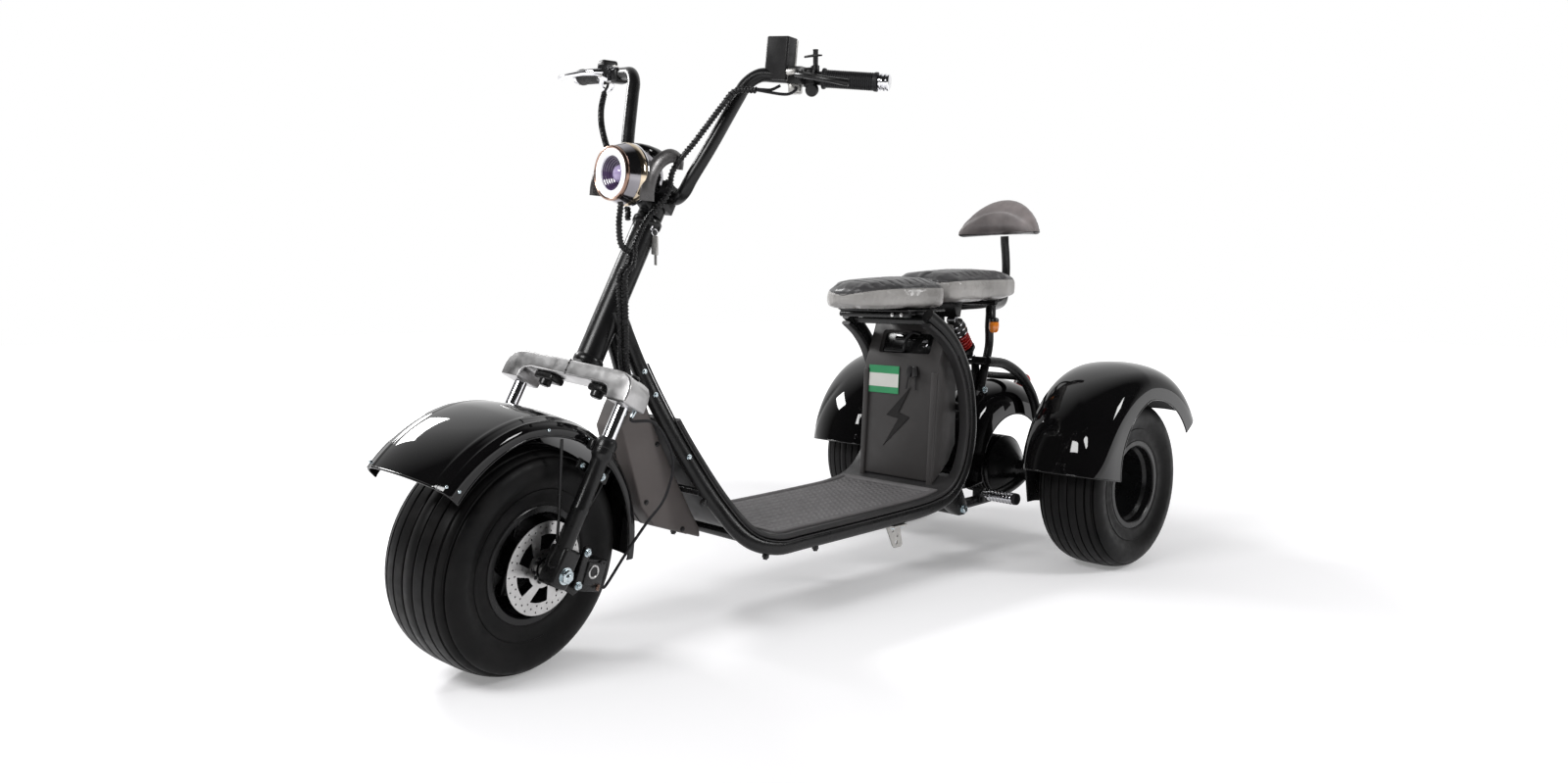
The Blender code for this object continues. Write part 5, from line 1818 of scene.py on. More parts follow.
@dataclass
class Rails:
    """The two rails that carry the tray, floor and battery."""

    high: float = 0.0175
    wide: float = 0.0150
    gap: float = 0.0003
    tray: float = 0.012
    mat_step: float = 0.0024

    def __post_init__(self) -> None:
        """Lays out the left rail's centre line."""
        fore, aft = STANCE.fore, STANCE.aft
        line = [
            fore(0.020, 0.2505, 0.472), fore(0.032, 0.297, 0.352), fore(0.060, 0.346, 0.233),
            fore(0.086, 0.393, 0.136), fore(0.118, 0.441, 0.046), fore(0.150, 0.49, -0.021),
            fore(0.166, 0.558, -0.048), fore(0.168, 0.653, -0.049), aft(0.168, -0.643, -0.0435),
            aft(0.168, -0.493, -0.036), aft(0.168, -0.411, -0.014), aft(0.166, -0.359, 0.034),
            aft(0.162, -0.328, 0.097), aft(0.159, -0.317, 0.172), aft(0.155, -0.329, 0.272),
            aft(0.150, -0.366, 0.354), aft(0.144, -0.415, 0.408), aft(0.138, -0.475, 0.448)
        ]
        self.points = self.even(curve_through(line, 24), 0.006)

    @staticmethod
    def even(path: Sequence[Vector], step: float) -> list[Vector]:
        """Points at equal distances along a path.

        Args:
            path: A fine path.
            step: The distance from point to point.

        Returns:
            The spaced points, with both ends kept.
        """
        found = [path[0].copy()]
        carried = 0.0
        for a, b in zip(path, path[1:]):
            length = (b - a).length
            while carried + length >= step:
                a = a.lerp(b, (step - carried) / length)
                length = (b - a).length
                carried = 0.0
                found.append(a.copy())
            carried += length
        return found if carried < step * 0.3 else [*found, path[-1].copy()]

    def frames(self, points: Sequence[Vector] | None = None) -> list[tuple[Vector, Vector]]:
        """Each rail point with the direction to the rider's side.

        Args:
            points: Other points than the rail's own.

        Returns:
            (point, direction) pairs.
        """
        path = list(points or self.points)
        found = []
        for i, point in enumerate(path):
            step = path[min(i + 1, len(path) - 1)] - path[max(i - 1, 0)]
            flat = Vector((0, step.y, step.z)).normalized()
            found.append((point, Vector((0, -flat.z, flat.y))))
        return found

    def section(self, point: Vector, up: Vector, side: int) -> list[Vector]:
        """The rail's oval section, a little flattened on its sides."""
        ring = []
        for k in range(32):
            a = math.tau * k / 32
            c, s = math.cos(a), math.sin(a)
            x = self.wide * math.copysign(abs(c) ** 0.85, c)
            h = self.high * math.copysign(abs(s) ** 0.85, s)
            q = point + Vector((x, 0, 0)) + up * h
            ring.append(Vector((q.x * side, q.y, q.z)))
        return ring

    def build(self) -> None:
        """Builds the frame's tubes, the tray, the mat and the trim."""
        self.tubes()
        self.sheet()
        self.mat()
        self.trim()

    def tubes(self) -> None:
        """Rails, head tube, cross bars and the seat rack in one welded piece."""
        solid = Solid()
        for side in (1, -1):
            solid.loft([self.section(p, up, side) for p, up in self.frames()])
        fore, aft = STANCE.fore, STANCE.aft
        column = aim(STANCE.pivot, STANCE.axis)
        head = [
            (0.0146, 0.4060), (0.0300, 0.4060), (0.0312, 0.4080), (0.0312, 0.4180), (0.0300, 0.4200),
            (0.0280, 0.4230), (0.0280, 0.7250), (0.0300, 0.7280), (0.0312, 0.7300), (0.0312, 0.7400),
            (0.0300, 0.7420), (0.0146, 0.7420)
        ]
        solid.lathe(head, column, 56)
        bars = [
            (fore(0, 0.573, -0.05), 0.166, 0.012), (aft(0, -0.613, -0.042), 0.168, 0.012),
            (aft(0, -0.3195, 0.202), 0.158, 0.012), (aft(0, -0.453, 0.434), 0.140, 0.012),
            (fore(0, 0.4028, 0.0846), 0.101, 0.008), (aft(0, -0.153, 0.4765), 0.118, 0.006)
        ]
        for middle, half, radius in bars:
            solid.lathe(
                [(0.0002, -half), (radius, -half), (radius, half), (0.0002, half)],
                aim(middle, Vector((1, 0, 0))), 28, closed=False
            )
        rack = [
            (-0.461, 0.436), (-0.378, 0.44), (-0.338, 0.4755), (-0.313, 0.4747), (-0.213, 0.4767),
            (-0.103, 0.4827), (-0.058, 0.488), (-0.058, 0.493), (-0.103, 0.4877), (-0.213, 0.4817),
            (-0.313, 0.4797), (-0.343, 0.4795), (-0.383, 0.447), (-0.461, 0.447)
        ]
        self.plate(solid, rack, -0.050, 0.050, 0.0012)
        self.plate(
            solid, [(-0.290, 0.478), (-0.250, 0.478), (-0.260, 0.4385), (-0.276, 0.4385)], -0.078, 0.078,
            0.0015
        )
        for side in (1, -1):
            ear = [(-0.433, -0.028), (-0.363, 0.027), (-0.323, -0.053), (-0.331, -0.08), (-0.357, -0.08)]
            low, high = sorted((side * 0.1283, side * 0.160))
            self.plate(solid, ear, low, high, 0.004)
        solid.piece("frame_tubes", Body.FRAME, SATIN_BLACK, ["main_frame"], "satin_black")

    @staticmethod
    def plate(solid: Solid, outline: Sequence[Pair], low: float, high: float, round_off: float = 0.0) -> None:
        """Adds a plate with an outline in (y, z) from the rear axle and a width along x.

        Args:
            solid: The solid that takes it.
            outline: (y, z) pairs.
            low: Smaller x.
            high: Larger x.
            round_off: Radius of its edges.
        """
        place = basis(STANCE.aft(low, 0, 0), Vector((0, 1, 0)), Vector((0, 0, 1)))
        solid.extrude(outline, high - low, place, round_off, 2)

    def slab(
        self, points: Iterable[tuple[Vector, Vector]], near: Callable[[Vector], float],
        far: Callable[[Vector], float], lift: float, thick: float, side: int = 1
    ) -> list[list[Vector]]:
        """Rings of a strip with rounded edges on the rider's side of the rails."""
        rings = []
        radius = thick * 0.42
        for p, up in points:
            a, b = sorted((near(p) * side, far(p) * side))
            ring = []
            for cx, cy, start in (
                (b - radius, radius, -90), (b - radius, thick - radius, 0),
                (a + radius, thick - radius, 90), (a + radius, radius, 180)
            ):
                for k in range(5):
                    angle = math.radians(start + 22.5 * k)
                    x, h = cx + radius * math.cos(angle), cy + radius * math.sin(angle)
                    q = p + up * (self.high + self.gap + lift + h)
                    ring.append(Vector((x, q.y, q.z)))
            rings.append(ring)
        return rings

    def sheet(self) -> None:
        """The moulded leg shield and floor with its raised side lips."""
        frames = self.frames()
        floor = STANCE.rear_axle.z
        sheet = [
            (p, up)
            for p, up in frames
            if (p.y < 0 and p.z <= floor + 0.2335) or (p.y >= 0 and p.z < floor + 0.012)
        ]
        solid = Solid().loft(self.slab(sheet, lambda p: -p.x - 0.014, lambda p: p.x + 0.014, 0.0, self.tray))
        arc = [(p, up) for p, up in frames if p.y > 0 and p.z > floor - 0.004][:-2]
        for side in (1, -1):
            solid.loft(
                self.slab(
                    arc, lambda p: p.x - 0.0155, lambda p: p.x + 0.0135, 0.0005, self.tray - 0.001, side
                )
            )
        solid.piece("tray_moulding", Body.FRAME, TRAY_GREY, ["body_tray"], "tray_plastic")

    def mat(self) -> None:
        """The rubber mat with wavy rows inside a raised border."""
        floor = STANCE.rear_axle.z
        rail = [
            p
            for p in self.points
            if p.z < floor + 0.022 and STANCE.front_axle_y + 0.553 < p.y < STANCE.rear_axle.y - 0.446
        ]
        fine = self.even(curve_through(rail, 4), self.mat_step)
        total = len(fine) - 1
        rings = []
        for i, (p, up) in enumerate(self.frames(fine)):
            along = i * self.mat_step
            half = p.x - 0.004
            base = p + up * (self.high + self.tray + 2 * self.gap)
            ring = [Vector((-half, base.y, base.z))]
            for k in range(141):
                x = -half + 2 * half * k / 140
                edge = min(half - abs(x), along, (total - i) * self.mat_step)
                q = base + up * self.mat_height(x, along, edge)
                ring.append(Vector((x, q.y, q.z)))
            ring.append(Vector((half, base.y, base.z)))
            rings.append(ring)
        Solid().loft(rings).piece("mat_sheet", Body.FRAME, MAT_RUBBER, ["floor_mat"], "mat_rubber")

    @staticmethod
    def mat_height(x: float, along: float, edge: float) -> float:
        """Height of the mat's surface: a rounded rim, a channel and wavy rows."""
        if edge < 0.018:
            return 0.0008 + 0.0050 * math.sin(math.pi * min(1.0, (edge + 0.002) / 0.020)) ** 0.5
        if edge < 0.022:
            return 0.0012
        wave = math.sin(math.tau * (along + 0.0036 * math.sin(math.tau * x / 0.026)) / 0.0170)
        fade = min(1.0, (edge - 0.022) / 0.010)
        return 0.0026 + 0.0013 * fade * max(-0.35, wave)

    def trim(self) -> None:
        """The dark edge strips, bolts and clips."""
        frames = self.frames()
        strips = Solid()
        for side in (1, -1):
            rings = []
            for p, up in frames:
                if p.z > STANCE.rear_axle.z + 0.36 and p.y < 0:
                    continue
                if p.y > 0 and p.z > STANCE.rear_axle.z + 0.35:
                    continue
                ring = []
                for x, h in ((0.0125, 0.0135), (0.0158, 0.0135), (0.0158, 0.0162), (0.0125, 0.0162)):
                    q = p + Vector((x, 0, 0)) + up * h
                    ring.append(Vector((q.x * side, q.y, q.z)))
                rings.append(ring)
            strips.loft(rings)
        strips.piece("rail_edge_strips", Body.FRAME, TRAY_GREY)
        bolts = Solid()
        for y, z in ((0.300, 0.345), (0.326, 0.300), (0.376, 0.160)):
            point = min(self.points, key=lambda p: (p - STANCE.fore(p.x, y, z)).length)
            for side in (1, -1):
                at = Vector((side * (point.x + self.wide * 0.96), point.y, point.z))
                bolts.bolt(aim(at, Vector((side, 0, 0))), 0.0045, 0.0026, 0.0062)
        bolts.piece("rail_bolts", Body.FRAME, ZINC)
        clips = Solid()
        for p, up in (self.frames()[k] for k in (74, 104, 128)):
            for side in (1, -1):
                at = Vector((side * p.x, p.y, p.z)) - up * (self.high + 0.003)
                clips.block((0.014, 0.010, 0.010), basis(at, Vector((1, 0, 0)), up), 0.002)
                clips.lathe(
                    [(0.0003, 0), (0.0052, 0), (0.0052, 0.004), (0.0003, 0.0045)],
                    aim(at - up * 0.004, -up), 16
                )
        clips.piece("rail_clips", Body.FRAME, BOLT_BLACK)


class CoverBox:
    """The wedge-shaped controller cover under the leg shield."""

    def build(self) -> None:
        """Builds the box with rounded edges, its middle seam and bolts."""
        outline = [
            (0.287, 0.317), (0.261, 0.272), (0.241, 0.23), (0.287, 0.062), (0.319, 0.017), (0.445, -0.028),
            (0.443, -0.006), (0.4195, 0.0345), (0.3714, 0.127), (0.3244, 0.224)
        ]
        place = basis(STANCE.fore(-0.048, 0, 0), Vector((0, 1, 0)), Vector((0, 0, 1)))
        Solid().extrude(outline, 0.096, place, 0.0045, 3).piece(
            "cover_shell", Body.FRAME, COVER_GREY, ["cover_box"], "cover_plastic"
        )
        seam = Solid()
        for x in (-0.0012, 0.0):
            line = [
                (0.288, 0.3175), (0.262, 0.2725), (0.2405, 0.230), (0.2865, 0.0615), (0.3187, 0.0165),
                (0.444, -0.0285)
            ]
            seam.sweep([STANCE.fore(x, y, z) for y, z in line], 0.0008, 6)
        seam.piece("cover_seam", Body.FRAME, BOLT_BLACK)
        bolts = Solid()
        for y, z in ((0.275, 0.268), (0.300, 0.070), (0.395, -0.002), (0.330, 0.190)):
            for side in (1, -1):
                bolts.bolt(aim(STANCE.fore(side * 0.048, y, z), Vector((side, 0, 0))), 0.0042, 0.0022, 0.0060)
        bolts.piece("cover_bolts", Body.FRAME, BOLT_BLACK)


class Battery:
    """The battery pack with its handle recess, lock, keys, blank label and relief."""

    def __init__(self) -> None:
        """Sets the placements on the pack's front and on its sloped top."""
        self.front = basis(STANCE.aft(0, -0.4315, 0), Vector((1, 0, 0)), Vector((0, 0.056, 0.998)))
        self.top = basis(STANCE.aft(0, -0.3905, 0.3750), Vector((1, 0, 0)), Vector((0, 0.350, 0.937)))

    def build(self) -> None:
        """Builds the pack and everything on its face."""
        self.pack()
        self.lock()
        self.label()
        self.relief()

    def pack(self) -> None:
        """The moulded pack with its recess cut out."""
        body = Solid().copy_node("battery_box")
        cutter = Solid()
        cutter.block((0.176, 0.064, 0.030), self.top @ shift(0, -0.002, 0.004), 0.008, 3)
        cutter.block((0.086, 0.026, 0.060), self.top @ shift(-0.012, 0.014, -0.010), 0.010, 3)
        body.cut(cutter)
        body.piece(
            "battery_pack", Body.FRAME, BATTERY_GREY, ["battery_box"], "tray_plastic", math.radians(38)
        )
        rim = Solid()
        rim.block((0.170, 0.058, 0.0016), self.top @ shift(0, -0.002, -0.0108), 0.0006)
        rim.piece("battery_recess", Body.FRAME, SATIN_BLACK)
        slot = Solid()
        slot.block((0.074, 0.017, 0.006), self.top @ shift(-0.012, 0.014, -0.0090), 0.0060)
        slot.piece("battery_slot", Body.FRAME, GLOSS_BLACK)
        cheeks = Solid()
        for side in (1, -1):
            cheeks.block((0.018, 0.300, 0.010), self.front @ shift(side * 0.1165, 0.150, 0.0008), 0.0045, 4)
        cheeks.piece("battery_cheeks", Body.FRAME, BATTERY_GREY)

    def lock(self) -> None:
        """Handle lever, lock barrel, key ring and two keys."""
        lever = Solid()
        path = [
            self.top @ Vector(p)
            for p in (
                (0.040, 0.022, -0.004), (0.018, 0.024, 0.002), (0.006, 0.012, 0.004),
                (0.000, -0.012, 0.003), (-0.004, -0.026, -0.004)
            )
        ]
        lever.sweep(curve_through(path, 6), 0.0042, 14)
        lever.block((0.070, 0.010, 0.010), self.top @ shift(-0.036, -0.026, -0.003), 0.003)
        lever.piece("battery_lever", Body.FRAME, PLASTIC_BLACK)
        barrel = Solid()
        barrel.lathe(
            [(0.0004, 0), (0.0110, 0), (0.0110, 0.010), (0.0095, 0.012), (0.0004, 0.012)],
            self.top @ shift(0.064, -0.004, -0.0100), 36
        )
        barrel.piece("battery_lock", Body.FRAME, CHROME)
        keys = Solid()
        ring = [
            self.top @ Vector(
                (
                    0.060 + 0.010 * math.sin(math.tau * k / 24),
                    -0.016 + 0.010 * math.cos(math.tau * k / 24), 0.006
                )
            )
            for k in range(25)
        ]
        keys.sweep(ring, 0.0010, 8)
        for x, lean in ((0.040, -0.18), (0.060, 0.10)):
            place = self.front @ shift(x, 0.298, 0.0105) @ Matrix.Rotation(lean, 4, "Z")
            keys.block((0.017, 0.028, 0.009), place, 0.0028, 3)
            keys.block((0.0050, 0.036, 0.0026), place @ shift(0.0, -0.030, 0), 0.0006, 1)
        keys.piece("battery_keys", Body.FRAME, PLASTIC_BLACK)

    def label(self) -> None:
        """The blank green and white label."""
        middle = shift(-0.056, 0.2715, 0)
        plate = Solid().block((0.106, 0.074, 0.0007), self.front @ middle @ shift(z=0.0009), 0.0003, 1)
        plate.piece("battery_label", Body.FRAME, LABEL_GREEN)
        field = Solid().block(
            (0.104, 0.036, 0.0008), self.front @ middle @ shift(y=-0.002, z=0.0012), 0.0003, 1
        )
        field.piece("battery_label_field", Body.FRAME, LABEL_WHITE)

    def relief(self) -> None:
        """The zigzag pressed into the front panel."""
        outline = [
            (0.041, 0.259), (-0.041, 0.176), (0.002, 0.170), (-0.048, 0.091), (0.040, 0.176), (0.002, 0.186)
        ]
        mark = Solid().extrude(outline, 0.0012, self.front @ shift(0, 0, 0.0004), 0.0004, 1)
        mark.piece("battery_relief", Body.FRAME, BATTERY_RELIEF)


@dataclass(frozen=True)
class RearEnd:
    """Axle, hoops, gear housing, guards, shocks, pegs, lamps and stand bracket.

    Each fold of a rear guard is a line between two (across, round) angles in degrees.
    """

    hoop_x: float = 0.112
    half_guard: float = 0.113
    folds: tuple[tuple[Pair, Pair], ...] = (((78.0, 132.0), (38.0, 168.0)), ((30.0, 112.0), (38.0, 168.0)))

    def build(self) -> None:
        """Builds the whole rear end."""
        self.hoops()
        self.drive()
        self.plates()
        self.guards()
        self.shocks()
        self.pegs()
        self.lamps()
        self.post()
        self.stand()

    def hoops(self) -> None:
        """Both smooth hoops and the tubes between them."""
        path = [
            (-0.346, -0.065), (-0.233, -0.065), (-0.093, -0.056), (0.007, -0.023), (0.059, 0.04),
            (0.073, 0.117), (0.049, 0.196), (-0.013, 0.264), (-0.093, 0.304), (-0.183, 0.317)
        ]
        solid = Solid()
        for side in (1, -1):
            solid.sweep(curve_through([STANCE.aft(side * self.hoop_x, y, z) for y, z in path], 10), 0.014, 28)
        for y, z, half, radius in (
            (-0.346, -0.065, 0.128, 0.016), (-0.181, 0.317, 0.112, 0.012), (0.0, 0.2623, 0.116, 0.010)
        ):
            solid.lathe(
                [(0.0002, -half), (radius, -half), (radius, half), (0.0002, half)],
                aim(STANCE.aft(0, y, z), Vector((1, 0, 0))), 28, closed=False
            )
        lug = [(-0.193, 0.307), (-0.165, 0.317), (-0.148, 0.242), (-0.168, 0.217), (-0.188, 0.227)]
        Rails.plate(solid, lug, 0.0667, 0.0727, 0.0015)
        Rails.plate(solid, lug, -0.0727, -0.0667, 0.0015)
        solid.piece("hoop_tubes", Body.FRAME, SATIN_BLACK, ["rear_axle"], "satin_black")

    def drive(self) -> None:
        """The axle tube, the gear housing with its ribs and the axle stubs."""
        along = aim(STANCE.rear_axle, Vector((1, 0, 0)))
        half = [
            (0.0, 0.084), (0.044, 0.084), (0.048, 0.088), (0.053, 0.088), (0.055, 0.083), (0.070, 0.070),
            (0.082, 0.050), (0.100, 0.030), (0.106, 0.026)
        ]
        end = STANCE.half_track - 0.0905
        half += [(end - 0.004, 0.026), (end, 0.024), (end + 0.001, 0.010), (STANCE.half_track + 0.018, 0.010)]
        right = [(r, -x) for x, r in reversed(half)]
        profile = [
            (0.0003, -STANCE.half_track - 0.018), *right, *[(r, x) for x, r in half[1:]],
            (0.0003, STANCE.half_track + 0.018)
        ]
        Solid().lathe(profile, along, 64, closed=False).piece("drive_housing", Body.FRAME, SATIN_BLACK)
        fins = Solid()
        for k in range(7):
            x = -0.036 + 0.012 * k
            fins.lathe(
                [(0.0830, x - 0.0018), (0.0890, x - 0.0012), (0.0890, x + 0.0012), (0.0830, x + 0.0018)],
                along, 64
            )
        fins.piece("drive_fins", Body.FRAME, SATIN_BLACK)
        bolts = Solid()
        for k in range(8):
            a = math.tau * k / 8 + 0.2
            for side in (1, -1):
                at = STANCE.aft(side * 0.0533, 0.076 * math.cos(a), 0.076 * math.sin(a))
                bolts.bolt(aim(at, Vector((side, 0, 0))), 0.0048, 0.0035)
        bolts.piece("drive_bolts", Body.FRAME, ZINC)
        nuts = Solid()
        for side in (1, -1):
            place = aim(STANCE.aft(side * (STANCE.half_track + 0.0006), 0, 0), Vector((side, 0, 0)))
            nuts.bolt(place, 0.0155, 0.0095, 0.0200)
        nuts.piece("rear_axle_nuts", Body.FRAME, ZINC)

    def plates(self) -> None:
        """Side plates with their stays and the peg lugs."""
        face = STANCE.half_track - self.half_guard - 0.0003
        solid = Solid()
        outline = [
            (-0.178, -0.047), (0.057, -0.078), (0.092, 0.072), (0.069, 0.250), (-0.045, 0.250),
            (-0.165, 0.158), (-0.222, 0.045), (-0.207, -0.047)
        ]
        for side in (1, -1):
            low, high = sorted((side * (face - 0.005), side * face))
            Rails.plate(solid, outline, low, high, 0.0015)
            low, high = sorted((side * 0.104, side * 0.1297))
            Rails.plate(
                solid, [(-0.227, -0.070), (-0.199, -0.070), (-0.199, -0.028), (-0.227, -0.028)], low, high,
                0.003
            )
            low, high = sorted((side * 0.100, side * (face - 0.001)))
            Rails.plate(
                solid, [(-0.013, -0.032), (0.013, -0.032), (0.013, -0.006), (-0.013, -0.006)], low, high,
                0.003
            )
        solid.piece("side_plates", Body.FRAME, SATIN_BLACK)
        bolts = Solid()
        for side in (1, -1):
            bolts.bolt(
                aim(STANCE.aft(side * 0.1602, -0.341, -0.064), Vector((side, 0, 0))), 0.0105, 0.0065, 0.0140
            )
        bolts.piece("swing_bolts", Body.FRAME, ZINC)

    def guards(self) -> None:
        """Both rear mudguards and the one over the housing."""
        outer, inner = (0.224, 0.166), (0.246, 0.222)
        for side in Side:
            place = Matrix.Translation(STANCE.aft(side.value * STANCE.half_track, 0.012, 0.004))
            halves = (0.120, self.half_guard)[:: side.value]
            sides = (outer, inner)[:: side.value]
            creases = tuple(
                tuple((t if side is Side.LEFT else 180 - t, a) for t, a in line) for line in self.folds
            )
            guard = Guard(halves, sides, (0.318, 0.300), 33.0, 170.0, creases=creases)
            guard.build(f"rear_{side.word}_guard_shell", Body.FRAME, place, f"rear_{side.word}_mudguard")
        middle = Matrix.Translation(STANCE.rear_axle)
        radii = (0.155, 0.155)
        guard = Guard((0.084, 0.084), (radii, radii), (0.252, 0.252), 54.0, 189.0)
        guard.build("centre_guard_shell", Body.FRAME, middle, "centre_mudguard")

    def shocks(self) -> None:
        """Two thick shock absorbers: a black can with a chrome-edged cap over a red spring."""
        bodies, springs, chrome = Solid(), Solid(), Solid()
        for side in Side:
            x = side.value * 0.058
            top, foot = STANCE.aft(x, -0.268, 0.430), STANCE.aft(x, -0.1885, 0.3268)
            place = aim(top, foot - top)
            length = (foot - top).length
            rod = [(0.0003, 0.004), (0.0060, 0.004), (0.0060, length - 0.01), (0.0003, length - 0.01)]
            chrome.lathe(rod, place, 24, closed=False)
            cap = [
                (0.0003, -0.002), (0.0130, -0.002), (0.0170, 0.004), (0.0230, 0.012), (0.0262, 0.020),
                (0.0265, 0.030)
            ]
            bodies.lathe([*cap, (0.0262, 0.044), (0.0200, 0.0455), (0.0003, 0.0455)], place, 40)
            seat = [
                (0.0003, length - 0.034), (0.0262, length - 0.034), (0.0262, length - 0.026),
                (0.0190, length - 0.016)
            ]
            bodies.lathe([*seat, (0.0120, length - 0.004), (0.0105, length), (0.0003, length)], place, 40)
            bodies.lathe(
                [(0.0003, 0.040), (0.0150, 0.040), (0.0150, length - 0.028), (0.0003, length - 0.028)],
                place, 32
            )
            for z in (0.0125, 0.0280, 0.0420):
                r = 0.0236 if z < 0.02 else 0.0262
                chrome.lathe(
                    [(r - 0.002, z), (r + 0.0012, z), (r + 0.0012, z + 0.0022), (r - 0.002, z + 0.0022)],
                    place, 40
                )
            coil = []
            turns = 5
            for k in range(turns * 16 + 1):
                a = math.tau * k / 16
                z = 0.049 + (length - 0.087) * k / (turns * 16)
                coil.append(place @ Vector((0.0215 * math.cos(a), 0.0215 * math.sin(a), z)))
            springs.sweep(coil, 0.0036, 10)
            for at in (top, foot):
                eye = [(0.0040, -0.013), (0.0095, -0.013), (0.0095, 0.013), (0.0040, 0.013)]
                chrome.lathe(eye, aim(at, Vector((1, 0, 0))), 28)
        bodies.piece("shock_bodies", Body.FRAME, BOLT_BLACK, ["shock_left", "shock_right"], "shock")
        springs.piece("shock_springs", Body.FRAME, SHOCK_RED)
        chrome.piece("shock_rods", Body.FRAME, CHROME)

    def pegs(self) -> None:
        """Ribbed chrome footpegs with black ends."""
        steel, ends = Solid(), Solid()
        for side in Side:
            place = aim(STANCE.aft(side.value * 0.130, -0.213, -0.044), Vector((side.value, 0, 0)))
            profile = [(0.0003, 0.0), (0.0100, 0.0), (0.0100, 0.018), (0.0125, 0.020), (0.0155, 0.022)]
            for k in range(7):
                z = 0.024 + 0.0105 * k
                profile += [(0.0160, z), (0.0160, z + 0.0062), (0.0132, z + 0.0072), (0.0132, z + 0.0094)]
            profile += [(0.0158, 0.0985), (0.0158, 0.1010), (0.0003, 0.1010)]
            steel.lathe(profile, place, 40)
            ends.lathe(
                [
                    (0.0003, 0.1010), (0.0156, 0.1010), (0.0160, 0.1040), (0.0150, 0.1110),
                    (0.0110, 0.1122), (0.0003, 0.1122)
                ],
                place, 40
            )
        steel.piece("peg_bars", Body.FRAME, CHROME, ["footpeg_left", "footpeg_right"], "chrome")
        ends.piece("peg_caps", Body.FRAME, GRIP_RUBBER)

    def lamps(self) -> None:
        """Indicators and the tail lamp with their bases."""
        lenses, stems = Solid(), Solid()
        for side in Side:
            place = aim(STANCE.aft(side.value * 0.112, -0.153, 0.4702), Vector((0, 0, -1)))
            stems.lathe(
                [
                    (0.0003, 0.0), (0.0060, 0.0), (0.0042, 0.006), (0.0042, 0.034), (0.0110, 0.036),
                    (0.0132, 0.040), (0.0132, 0.046), (0.0003, 0.046)
                ],
                place, 28
            )
            lenses.lathe(
                [
                    (0.0003, 0.0462), (0.0128, 0.0462), (0.0138, 0.052), (0.0138, 0.062), (0.0125, 0.070),
                    (0.0085, 0.0755), (0.0003, 0.0765)
                ],
                place, 36
            )
        lenses.piece(
            "indicator_lenses", Body.FRAME, AMBER, ["indicator_left", "indicator_right"], "amber_lens"
        )
        stems.piece("indicator_stems", Body.FRAME, BOLT_BLACK)
        out = Vector((0, math.cos(math.radians(56)), math.sin(math.radians(56))))
        place = aim(STANCE.rear_axle + out * 0.2526, out)
        base = [(0.0003, 0.0), (0.0205, 0.0), (0.0228, 0.006), (0.0240, 0.020), (0.0003, 0.020)]
        Solid().lathe(base, place, 40).piece("tail_base", Body.FRAME, BOLT_BLACK)
        lens = [
            (0.0003, 0.0202), (0.0238, 0.0202), (0.0240, 0.036), (0.0225, 0.043), (0.0170, 0.050),
            (0.0080, 0.0525), (0.0003, 0.0526)
        ]
        Solid().lathe(lens, place, 40).piece("tail_lens", Body.FRAME, TAIL_RED, ["tail_light"], "red_lens")

    def post(self) -> None:
        """The bent backrest post with its two struts and pinch bolts."""
        top = [
            (0.000, 0.049, 0.6675), (0.000, 0.051, 0.645), (0.000, 0.056, 0.615), (0.000, 0.060, 0.567),
            (0.003, 0.052, 0.512)
        ]
        strut = [
            (0.020, 0.016, 0.476), (0.050, -0.068, 0.465), (0.074, -0.118, 0.463),
            (0.0845, -0.134, 0.445), (0.085, -0.137, 0.410), (0.085, -0.137, 0.355),
            (0.085, -0.161, 0.277), (0.085, -0.171, 0.233)
        ]
        post = Solid().sweep(curve_through([STANCE.aft(*p) for p in [*top, *strut]], 10), 0.012, 28)
        branch = [(-x, y, z) for x, y, z in [(0.002, 0.056, 0.530), *strut]]
        post.sweep(curve_through([STANCE.aft(*p) for p in branch], 10), 0.0118, 28)
        post.piece("backrest_post_tube", Body.FRAME, SATIN_BLACK, ["backrest_post"], "satin_black")
        bolts = Solid()
        for side in (1, -1):
            bolts.bolt(
                aim(STANCE.aft(side * 0.0968, -0.169, 0.237), Vector((side, 0, 0))), 0.0075, 0.0050, 0.0100
            )
        bolts.piece("post_bolts", Body.FRAME, ZINC)

    def stand(self) -> None:
        """The bare stand bracket with its holes."""
        blade = Solid()
        outline = [
            (-0.643, -0.062), (-0.593, -0.062), (-0.588, -0.085), (-0.581, -0.118), (-0.586, -0.124),
            (-0.610, -0.124), (-0.616, -0.119)
        ]
        Rails.plate(blade, outline, 0.150, 0.154)
        Rails.plate(
            blade, [(-0.6428, -0.0652), (-0.5932, -0.0652), (-0.5932, -0.061), (-0.6428, -0.061)], 0.1502,
            0.180
        )
        cutter = Solid()
        for y, z, radius in ((-0.604, -0.110, 0.0055), (-0.618, -0.080, 0.0035), (-0.600, -0.094, 0.0030)):
            cutter.lathe(
                [(0.0003, -0.01), (radius, -0.01), (radius, 0.01), (0.0003, 0.01)],
                aim(STANCE.aft(0.152, y, z), Vector((1, 0, 0))), 24
            )
        blade.cut(cutter)
        blade.piece("stand_plate", Body.FRAME, PERCH_SILVER, ["stand_bracket"], "steel")
        bolts = Solid()
        for y in (-0.634, -0.602):
            bolts.bolt(aim(STANCE.aft(0.168, y, -0.0652), Vector((0, 0, -1))), 0.0055, 0.0040, 0.0075)
        bolts.piece("stand_bolts", Body.FRAME, ZINC)


# Soft goods


